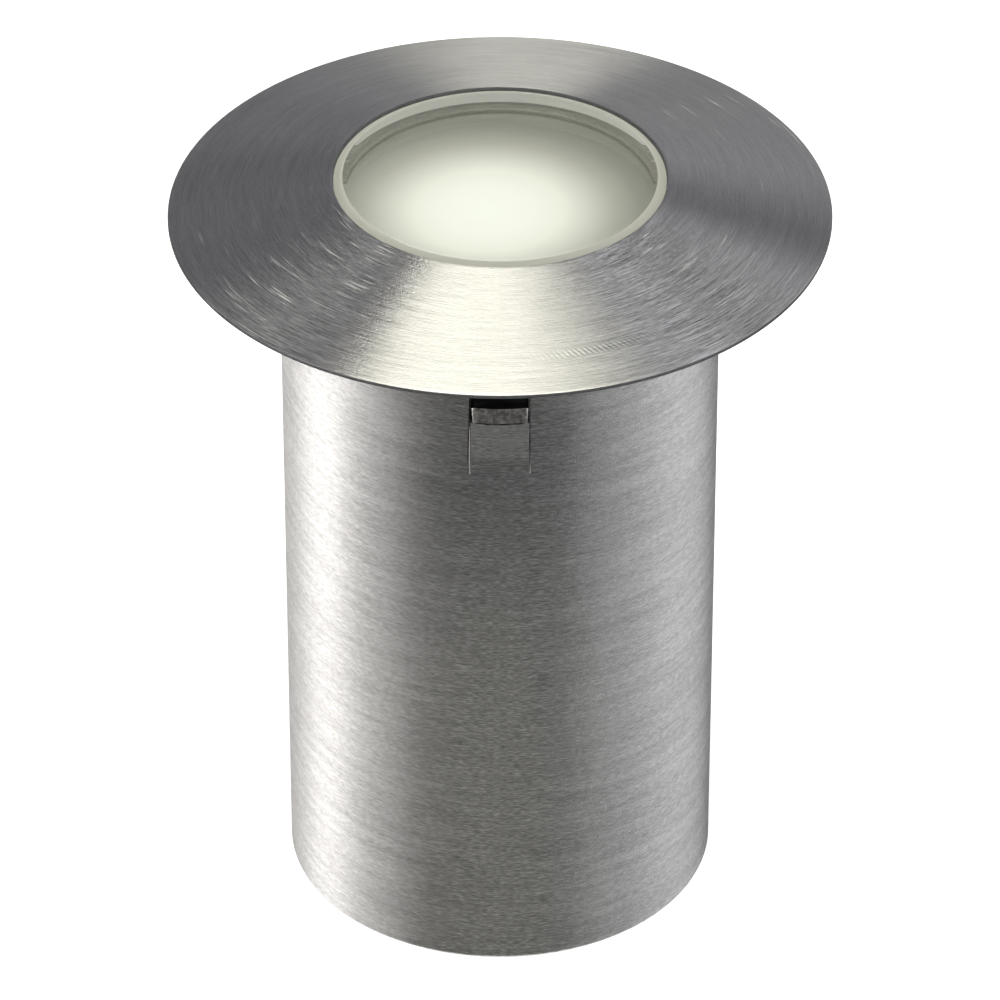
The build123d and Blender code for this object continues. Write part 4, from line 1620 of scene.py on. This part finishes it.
@dataclass
class Insert:
    """The sealed insert that lifts out of the sleeve."""

    finishes: Finishes
    can_r: float = CAN_R
    can_bore_r: float = 16.1
    can_low_z: float = CAN_LOW_Z
    shoulder_z: float = 62.0
    spigot_r: float = 16.3
    can_top_z: float = 66.53
    optic_r: float = 15.0
    optic_low_z: float = 58.03
    thread_depth: float = 0.35
    thread_pitch: float = 1.0
    can_edge: float = 0.12
    hole_edge: float = 0.08
    groove_r: float = 17.0
    groove_width: float = 1.55
    ring_heights: Pair = (24.03, 50.03)
    ring_r: float = 17.75
    ring_section_r: float = 0.7
    ring_flash: float = 0.03
    collar_r: float = 17.9
    collar_low_z: float = 62.8
    thread_bore_r: float = 16.4
    ledge_low_z: float = 66.83
    ledge_top_z: float = 68.03
    collar_top_z: float = 70.0
    collar_edge: float = 0.12
    flute_depth: float = 0.14
    flute_low_z: float = 64.1
    flute_high_z: float = 68.3
    flute_every: int = 3
    seal_inner_r: float = 18.0
    seal_edge: float = 0.14
    screw_head_r: float = 1.8
    screw_head_top: float = 17.4
    screw_head_height: float = 0.8
    screw_r: float = 0.9
    screw_tip: float = 14.5
    screw_slot: Pair = (0.4, 0.3)
    screw_fit: float = 0.1
    screw_edge: float = 0.04

    def build(self) -> None:
        """Builds the insert's outer pieces and dresses its sealed ones."""
        self.build_can()
        self.build_grip_rings()
        self.build_collar()
        self.build_seals()
        self.build_screws()
        self.dress_sealed_pieces()

    def build_can(self) -> None:
        """Turns the can with its grooves and thread, and bores its screw holes."""
        half = self.groove_width / 2
        profile: Profile = [(self.can_bore_r, self.can_low_z), (self.can_r, self.can_low_z)]
        for ring_z in self.ring_heights:
            profile += [
                (self.can_r, ring_z - half),
                (self.groove_r, ring_z - half),
                (self.groove_r, ring_z + half),
                (self.can_r, ring_z + half),
            ]
        profile += [(self.can_r, self.shoulder_z), (self.spigot_r - self.thread_depth, self.shoulder_z)]
        turns = int((self.can_top_z - self.shoulder_z - 0.5) / self.thread_pitch)
        for turn in range(turns):
            start = self.shoulder_z + 0.3 + turn * self.thread_pitch
            profile += [
                (self.spigot_r - self.thread_depth, start),
                (self.spigot_r, start + self.thread_pitch * 0.4),
                (self.spigot_r, start + self.thread_pitch * 0.6),
            ]
        profile += [
            (self.spigot_r - self.thread_depth, self.can_top_z),
            (self.optic_r, self.can_top_z),
            (self.optic_r, self.optic_low_z),
            (self.can_bore_r, self.optic_low_z),
        ]
        can = turned("can_body", profile)
        break_edges(can, self.can_edge, angle=SQUARE_EDGE)
        head_r = self.screw_head_r + self.screw_fit
        shank_r = self.screw_r + self.screw_fit
        seat = self.screw_head_top - self.screw_head_height
        holes = ((shank_r, self.can_bore_r - OVERRUN, seat + 0.1), (head_r, seat, self.can_r + OVERRUN))
        for angle in SCREW_ANGLES:
            for radius, start, end in holes:
                drill = rod("drill", radius, start, end, SMALL_STEPS)
                lay_radially(drill, angle, SCREW_Z)
                cut_away(can, drill)
        break_edges(can, self.hole_edge, angle=SQUARE_EDGE)
        finish_piece(can, self.finishes.can, Body.INSERT, "anodised", "inner_can")

    def build_grip_rings(self) -> None:
        """Turns the two rubber rings with their parting lines."""
        rings = []
        for ring_z in self.ring_heights:
            profile = []
            for step in range(GRIP_RING_SIDES):
                turn = tau * step / GRIP_RING_SIDES
                reach = self.ring_section_r + (0.0 if step else self.ring_flash)
                profile.append((self.ring_r + reach * cos(turn), ring_z + reach * sin(turn)))
            rings.append(turned("grip_ring", profile, steps=GRIP_RING_STEPS))
        pair = joined("grip_ring_pair", rings)
        finish_piece(pair, self.finishes.rubber, Body.INSERT, "black_rubber", "grip_rings", radians(40))

    def build_collar(self) -> None:
        """Turns the threaded collar and rolls its grip flutes."""
        collar = turned(
            "collar_ring",
            [
                (self.thread_bore_r, self.collar_low_z),
                (self.collar_r, self.collar_low_z),
                (self.collar_r, self.flute_low_z - 0.2),
                (self.collar_r, self.flute_low_z),
                (self.collar_r, self.flute_high_z),
                (self.collar_r, self.flute_high_z + 0.2),
                (self.collar_r, self.collar_top_z),
                (OPENING_R, self.collar_top_z),
                (OPENING_R, self.ledge_top_z),
                (WINDOW_R, self.ledge_top_z),
                (WINDOW_R, self.ledge_low_z),
                (self.thread_bore_r, self.ledge_low_z),
            ],
            steps=COLLAR_STEPS,
        )
        break_edges(collar, self.collar_edge, angle=SQUARE_EDGE)
        shrink = (self.collar_r - self.flute_depth) / self.collar_r
        for vertex in collar.data.vertices:
            x, y, z = vertex.co / MM
            on_rim = (x * x + y * y) ** 0.5 > self.collar_r - 0.02
            column = round(Vector((x, y)).angle_signed(Vector((1.0, 0.0))) / tau * COLLAR_STEPS)
            in_band = self.flute_low_z - 0.05 < z < self.flute_high_z + 0.05
            if on_rim and in_band and column % self.flute_every == 0:
                vertex.co = Vector((x * shrink, y * shrink, z)) * MM
        finish_piece(
            collar, self.finishes.collar, Body.INSERT, "turned_steel", "bezel_collar", radians(12)
        )

    def build_seals(self) -> None:
        """Turns the two flat seals."""
        collar_low, collar_top = self.collar_low_z, self.collar_top_z
        for node, inner, outer, low, high in (
            ("bezel_seal", self.seal_inner_r, SLEEVE_R, SLEEVE_TOP_Z, collar_top),
            ("can_seal", self.thread_bore_r, self.can_r, self.shoulder_z, collar_low),
        ):
            seal = turned(node + "_ring", [(inner, low), (outer, low), (outer, high), (inner, high)])
            break_edges(seal, self.seal_edge, segments=3)
            finish_piece(seal, self.finishes.rubber, Body.INSERT, "black_rubber", node)

    def build_screws(self) -> None:
        """Turns the slotted screws of the base cap and sets them round the can."""
        seat = self.screw_head_top - self.screw_head_height
        slot_width, slot_depth = self.screw_slot
        screws = []
        for angle in SCREW_ANGLES:
            screw = turned(
                "screw",
                [
                    (0.0, self.screw_tip),
                    (self.screw_r - 0.3, self.screw_tip),
                    (self.screw_r, self.screw_tip + 0.3),
                    (self.screw_r, seat),
                    (self.screw_head_r, seat),
                    (self.screw_head_r, self.screw_head_top - 0.3),
                    (self.screw_head_r - 0.45, self.screw_head_top),
                    (0.0, self.screw_head_top),
                ],
                steps=SMALL_STEPS,
            )
            slot = block(
                "slot",
                Vector((-self.screw_head_r - OVERRUN, -slot_width / 2, self.screw_head_top - slot_depth)),
                Vector((self.screw_head_r + OVERRUN, slot_width / 2, self.screw_head_top + OVERRUN)),
            )
            cut_away(screw, slot)
            break_edges(screw, self.screw_edge, angle=35.0)
            lay_radially(screw, angle, SCREW_Z)
            screws.append(screw)
        group = joined("cap_screw_set", screws)
        finish_piece(group, self.finishes.screw, Body.INSERT, "screw_steel", "cap_screws")

    def dress_sealed_pieces(self) -> None:
        """Dresses the solids that stay sealed in the can."""
        looks = {
            "base_seal": self.finishes.rubber,
            "board_screws": self.finishes.screw,
            "reflector": self.finishes.white,
            "led_emitter": self.finishes.emitter,
            "led_board": self.finishes.board_white,
            "heat_spreader": self.finishes.aluminium,
            "battery_cell": self.finishes.wrap,
            "battery_cradle": self.finishes.plastic,
            "upper_contact": self.finishes.brass,
            "lower_contact": self.finishes.brass,
            "control_board": self.finishes.board_green,
            "charge_socket": self.finishes.socket,
            "button_switch": self.finishes.plastic,
            "lead_negative": self.finishes.lead_black,
            "lead_positive": self.finishes.lead_red,
        }
        for name, material in looks.items():
            dress_node(name, material)
            log.info("%s is dressed", name)


@dataclass
class Underside:
    """The base cap with its button and port plug, and the drained plug in the sleeve's lower end."""

    finishes: Finishes
    cap_r: float = CAN_R
    cap_low_z: float = 12.03
    cap_top_z: float = CAN_LOW_Z
    cap_chamfer: float = 0.4
    cap_edge: float = 0.06
    cut_edge: float = 0.08
    ring_inner_r: float = 13.9
    ring_outer_r: float = 16.0
    ring_top_z: float = 21.03
    seal_z: float = 19.43
    seal_half: float = 0.61
    seal_groove_r: float = 14.88
    witness_r: float = 16.3
    witness_width: float = 0.35
    witness_depth: float = 0.12
    port: Pair = (-3.001, 9.8)
    port_size: Triple = (9.44, 3.7, 1.75)
    button: Pair = (6.519, 9.70)
    button_low_z: float = 11.63
    button_head: Pair = (2.8, 1.6)
    button_stem: Pair = (1.1, 21.13)
    button_collar: Triple = (1.45, 15.11, 0.5)
    dish: Pair = (8.0, 0.25)
    pocket_r: float = 2.95
    pocket_top_z: float = 14.31
    stem_hole_r: float = 1.2
    pocket_steps: int = 64
    button_edge: float = 0.15
    screw_hole_r: float = 0.95
    screw_hole_steps: int = 32
    plug_low_z: float = 10.99
    plug_flange: tuple[float, float, float, float] = (11.14, 5.4, 2.6, 1.0)
    plug_stem: tuple[float, float, float, float] = (9.2, 3.46, 1.63, 1.85)
    plug_grip: Triple = (6.0, 1.3, 0.8)
    plug_grip_corner: float = 0.34
    plug_rib: Pair = (0.05, 0.35)
    plug_rib_start: float = 0.5
    plug_rib_pitch: float = 0.75
    plug_bite: float = 0.1
    flange_edge: tuple[float, int] = (0.28, 4)
    stem_edge: tuple[float, int] = (0.15, 2)
    rib_edge: tuple[float, int] = (0.04, 1)
    grip_edge: tuple[float, int] = (0.18, 3)
    foot_r: float = 18.46
    foot_low_z: float = 1.0
    foot_top_z: float = 4.0
    foot_recess_r: float = 17.06
    foot_floor_z: float = 2.4
    foot_hole_r: float = 3.0
    drain_circle_r: float = 11.0
    drain_r: float = 2.2
    rib_width: float = 0.9
    rib_height: float = 1.1
    rib_count: int = 4
    rib_reach: float = 0.6
    rib_sink: float = 0.4
    foot_edge: float = 0.15
    drain_edge: float = 0.1

    def build(self) -> None:
        """Builds and places the pieces that show from below."""
        self.build_base_cap()
        self.build_button()
        self.build_plug()
        self.build_foot()

    def build_base_cap(self) -> None:
        """Turns the base cap and cuts its port, its button pocket and its screw holes."""
        low, inner, outer = self.cap_low_z, self.ring_inner_r, self.ring_outer_r
        cap = turned(
            "base_cap_body",
            [
                (0.0, low),
                (self.witness_r - self.witness_width, low),
                (self.witness_r - self.witness_width, low + self.witness_depth),
                (self.witness_r, low + self.witness_depth),
                (self.witness_r, low),
                (self.cap_r - self.cap_chamfer, low),
                (self.cap_r, low + self.cap_chamfer),
                (self.cap_r, self.cap_top_z),
                (outer, self.cap_top_z),
                (outer, self.seal_z - self.seal_half),
                (self.seal_groove_r, self.seal_z - self.seal_half),
                (self.seal_groove_r, self.seal_z + self.seal_half),
                (outer, self.seal_z + self.seal_half),
                (outer, self.ring_top_z),
                (inner, self.ring_top_z),
                (inner, self.cap_top_z),
                (0.0, self.cap_top_z),
            ],
        )
        break_edges(cap, self.cap_edge, angle=40.0)
        width, depth, corner = self.port_size
        above = self.cap_top_z + OVERRUN
        port = rounded_block("port", self.port, (width, depth), corner, low - OVERRUN, above)
        cut_away(cap, port)
        for radius, end in ((self.stem_hole_r, above), (self.pocket_r, self.pocket_top_z)):
            drill = rod("drill", radius, low - OVERRUN, end, self.pocket_steps)
            shift(drill, *self.button)
            cut_away(cap, drill)
        for angle in SCREW_ANGLES:
            drill = rod("drill", self.screw_hole_r, inner + 0.3, outer + OVERRUN, self.screw_hole_steps)
            lay_radially(drill, angle, SCREW_Z)
            cut_away(cap, drill)
        break_edges(cap, self.cut_edge, angle=SQUARE_EDGE)
        finish_piece(cap, self.finishes.plastic, Body.INSERT, "black_plastic", "base_cap")

    def build_button(self) -> None:
        """Turns the power button with its dished head, its stem and its retaining collar."""
        low = self.button_low_z
        head_r, head_height = self.button_head
        stem_r, stem_top = self.button_stem
        collar_r, collar_low, collar_height = self.button_collar
        dish_r, dish_depth = self.dish
        dish_edge = (dish_r**2 - (dish_r - dish_depth) ** 2) ** 0.5
        profile = []
        for step in range(DISH_STEPS + 1):
            radius = dish_edge * step / DISH_STEPS
            profile.append((radius, low + (dish_r**2 - radius**2) ** 0.5 - (dish_r - dish_depth)))
        profile += [
            (head_r, low),
            (head_r, low + head_height),
            (stem_r, low + head_height),
            (stem_r, collar_low),
            (collar_r, collar_low),
            (collar_r, collar_low + collar_height),
            (stem_r, collar_low + collar_height),
            (stem_r, stem_top),
            (0.0, stem_top),
        ]
        button = turned("power_button_cap", profile, steps=BUTTON_STEPS)
        break_edges(button, self.button_edge, segments=3, angle=SQUARE_EDGE)
        shift(button, *self.button)
        finish_piece(button, self.finishes.button, Body.BUTTON, "button_rubber", "power_button")

    def plug_part(
        self, name: str, size: Pair, corner: float, low: float, high: float, edge: tuple[float, int]
    ) -> Piece:
        """Adds one rounded block of the port plug.

        Args:
            name: The block's name.
            size: Its width and depth.
            corner: The radius of its upright corners.
            low: Its lower end.
            high: Its upper end.
            edge: How far its edges are rounded, and with how many faces.

        Returns:
            The block.
        """
        part = rounded_block(name, self.port, size, corner, low, high)
        break_edges(part, edge[0], segments=edge[1], angle=SQUARE_EDGE)
        return part

    def build_plug(self) -> None:
        """Builds the rubber plug from its flange, its ribbed stem and its grip."""
        width, depth, corner, height = self.plug_flange
        stem_width, stem_depth, stem_corner, stem_height = self.plug_stem
        rib_reach, rib_height = self.plug_rib
        grip_width, grip_depth, grip_height = self.plug_grip
        low, flange_top = self.plug_low_z, self.plug_low_z + height
        stem_low, stem_top = flange_top - self.plug_bite, flange_top + stem_height
        plug = self.plug_part("port_plug_body", (width, depth), corner, low, flange_top, self.flange_edge)
        size = (stem_width, stem_depth)
        add_on(plug, self.plug_part("stem", size, stem_corner, stem_low, stem_top, self.stem_edge))
        size = (stem_width + 2 * rib_reach, stem_depth + 2 * rib_reach)
        for number in range(2):
            start = stem_low + self.plug_rib_start + number * self.plug_rib_pitch
            end, corner = start + rib_height, stem_corner + rib_reach
            add_on(plug, self.plug_part("rib", size, corner, start, end, self.rib_edge))
        size, start, end = (grip_width, grip_depth), low - grip_height, low + self.plug_bite
        add_on(plug, self.plug_part("grip", size, self.plug_grip_corner, start, end, self.grip_edge))
        finish_piece(plug, self.finishes.rubber, Body.PLUG, "button_rubber", "port_plug")

    def build_foot(self) -> None:
        """Turns the sleeve's drained lower plug and stiffens it with ribs."""
        foot = turned(
            "sleeve_base_plug",
            [
                (self.foot_hole_r, self.foot_low_z),
                (self.foot_r, self.foot_low_z),
                (self.foot_r, self.foot_top_z),
                (self.foot_recess_r, self.foot_top_z),
                (self.foot_recess_r, self.foot_floor_z),
                (self.foot_hole_r, self.foot_floor_z),
            ],
        )
        break_edges(foot, self.foot_edge, angle=SQUARE_EDGE)
        spacing, half = 360.0 / self.rib_count, self.rib_width / 2
        for number in range(self.rib_count):
            rib = block(
                "rib",
                Vector((self.foot_hole_r + self.rib_reach, -half, self.foot_floor_z - self.rib_sink)),
                Vector((self.foot_recess_r + self.rib_reach, half, self.foot_floor_z + self.rib_height)),
            )
            turn_about_axis(rib, spacing * (number + 0.5))
            add_on(foot, rib)
            drain = rod("drain", self.drain_r, self.foot_low_z - OVERRUN, self.foot_top_z, SMALL_STEPS)
            shift(drain, self.drain_circle_r, 0.0)
            turn_about_axis(drain, spacing * number)
            cut_away(foot, drain)
        break_edges(foot, self.drain_edge, angle=SQUARE_EDGE)
        finish_piece(foot, self.finishes.plastic, Body.SLEEVE, "black_plastic", "sleeve_base")


# Studio


@dataclass(frozen=True)
class SoftBox:
    """One soft lamp, aimed at the object."""

    name: str
    place: Triple
    width: float
    height: float
    power: float
    colour: Colour = (1.0, 1.0, 1.0)
    roll: float = 0.0
    target: Triple = (0.0, 0.0, 0.05)
    off_bezel: bool = False

    def build(self) -> Piece:
        """Sets the lamp up.

        Returns:
            The lamp.
        """
        deselect_all()
        bpy.ops.object.light_add(type="AREA", location=self.place)
        lamp = bpy.context.active_object
        lamp.name = self.name
        lamp.data.shape = "RECTANGLE"
        lamp.data.size = self.width
        lamp.data.size_y = self.height
        lamp.data.energy = self.power
        lamp.data.color = self.colour
        aim = (Vector(self.target) - Vector(self.place)).to_track_quat("-Z", "Y").to_matrix().to_4x4()
        lamp.rotation_euler = (aim @ Matrix.Rotation(radians(self.roll), 4, "Z")).to_euler()
        return lamp


@dataclass
class Studio:
    """Pale floor, soft lamps and a grey room."""

    room: Colour = (0.155, 0.155, 0.165)
    boxes: tuple[SoftBox, ...] = (
        SoftBox(
            "top_box",
            (-0.045, -0.141, 1.07),
            0.86,
            0.77,
            8.7,
            (1.0, 0.98, 0.83),
            roll=-34.0,
            target=(-0.045, -0.141, 0.0),
        ),
        SoftBox("top_side", (0.57, 0.30, 1.05), 0.50, 0.80, 0.8, roll=20.0, target=(0.57, 0.30, 0.0)),
        SoftBox("back_right", (0.22, 1.05, 0.40), 0.60, 0.50, 0.30),
        SoftBox("right_high", (0.72, 0.66, 0.77), 0.40, 0.40, 0.45),
        SoftBox("left_strip", (-0.95, 0.08, 0.10), 0.45, 0.30, 6.2, (1.0, 0.97, 0.93), off_bezel=True),
        SoftBox("left_wing", (-0.85, -0.35, 0.10), 0.60, 0.30, 2.4, (1.0, 0.97, 0.93)),
        SoftBox("left_back", (-0.75, 0.60, 0.10), 0.60, 0.30, 2.5, (1.0, 0.97, 0.93), off_bezel=True),
        SoftBox("right_box", (0.87, 0.12, 0.14), 0.72, 0.35, 3.0, off_bezel=True),
        SoftBox("right_wing", (0.76, -0.46, 0.14), 0.60, 0.35, 1.3),
    )
    paper: tuple[Colour, Colour] = ((0.80, 0.80, 0.80), (0.84, 0.84, 0.84))
    paper_glow: float = 0.6
    felt: Colour = (0.12, 0.12, 0.12)
    mat_r: float = 0.6
    mat_lift: float = 0.0002
    flagged: list[Piece] = field(default_factory=list)

    def build(self) -> None:
        """Builds the floor, the lamps and the room."""
        self.build_floor()
        self.build_mat()
        for box in self.boxes:
            lamp = box.build()
            if box.off_bezel:
                self.flagged.append(lamp)
        world = bpy.data.worlds.new("room")
        bpy.context.scene.world = world
        world.use_nodes = True
        world.node_tree.nodes["Background"].inputs["Color"].default_value = (*self.room, 1.0)

    def flag_bezel(self, bezel: Piece) -> None:
        """Keeps the low side lamps off the bezel, as a flag does in a studio.

        Args:
            bezel: The piece that they leave out.
        """
        lit = bpy.data.collections.new("side_lit")
        for piece in bpy.context.scene.objects:
            if piece.type == "MESH" and piece != bezel:
                lit.objects.link(piece)
        for lamp in self.flagged:
            lamp.light_linking.receiver_collection = lit

    def build_floor(self) -> None:
        """Lays the pale floor."""
        deselect_all()
        bpy.ops.mesh.primitive_plane_add(size=8.0)
        floor = bpy.context.active_object
        floor.name = "floor"
        material, bench = bare_material("floor_paper")
        grain = bench.add("ShaderNodeTexNoise", {"Scale": 300.0, "Vector": bench.object_place()})
        paper = bench.blend_colour(grain.outputs["Fac"], *self.paper)
        matt = bench.add("ShaderNodeBsdfDiffuse", {"Color": paper})
        glow = bench.add("ShaderNodeEmission", {"Color": (1.0, 1.0, 1.0), "Strength": self.paper_glow})
        shown = bench.add("ShaderNodeAddShader")
        bench.feed(shown.inputs[0], matt.outputs[0])
        bench.feed(shown.inputs[1], glow.outputs[0])
        path = bench.add("ShaderNodeLightPath")
        seen = bench.maths("MAXIMUM", path.outputs["Is Camera Ray"], path.outputs["Is Glossy Ray"])
        seen = bench.maths("MAXIMUM", seen, path.outputs["Is Transmission Ray"])
        mixed = bench.add("ShaderNodeMixShader", {"Fac": seen})
        bench.feed(mixed.inputs[1], matt.outputs[0])
        bench.feed(mixed.inputs[2], shown.outputs[0])
        below = bench.add("ShaderNodeNewGeometry").outputs["Backfacing"]
        through = bench.add("ShaderNodeMixShader", {"Fac": below})
        bench.feed(through.inputs[1], mixed.outputs[0])
        bench.feed(through.inputs[2], bench.add("ShaderNodeBsdfTransparent").outputs[0])
        bench.add("ShaderNodeOutputMaterial", {"Surface": through.outputs[0]})
        dress(floor, material)

    def build_mat(self) -> None:
        """Lays the dark mat that only the metal's shine sees."""
        deselect_all()
        bpy.ops.mesh.primitive_circle_add(
            vertices=64, radius=self.mat_r, fill_type="NGON", location=(0.0, 0.0, self.mat_lift)
        )
        mat = bpy.context.active_object
        mat.name = "dark_mat"
        mat.visible_camera = False
        mat.visible_diffuse = False
        mat.visible_shadow = False
        mat.visible_transmission = False
        material, bench = bare_material("mat_felt")
        matt = bench.add("ShaderNodeBsdfDiffuse", {"Color": self.felt})
        bench.add("ShaderNodeOutputMaterial", {"Surface": matt.outputs[0]})
        dress(mat, material)


@dataclass(frozen=True)
class PhotoCamera:
    """The camera that the photograph's outlines were fitted to."""

    place: Triple = (0.0, -0.5295, 0.4091)
    pitch_down: float = 35.0
    lens: float = 250.4
    sensor: float = 36.0

    def build(self) -> None:
        """Sets the camera up."""
        deselect_all()
        bpy.ops.object.camera_add(location=self.place, rotation=(radians(90.0 - self.pitch_down), 0.0, 0.0))
        camera = bpy.context.active_object
        camera.name = "photo_camera"
        camera.data.lens = self.lens
        camera.data.sensor_width = self.sensor
        camera.data.clip_start = 0.01
        camera.data.clip_end = 50.0
        bpy.context.scene.camera = camera


def main() -> None:
    """Builds the lamp and its studio in order."""
    logging.basicConfig(level=logging.INFO, format="%(message)s")
    PhotoCamera().build()
    studio = Studio()
    studio.build()
    bpy.context.scene.view_settings.view_transform = "Standard"
    finishes = Finishes()
    for assembly in (Head, Sleeve, Insert, Underside):
        assembly(finishes).build()
    studio.flag_bezel(bpy.data.objects["bezel_ring"])


if __name__ == "__main__":
    main()
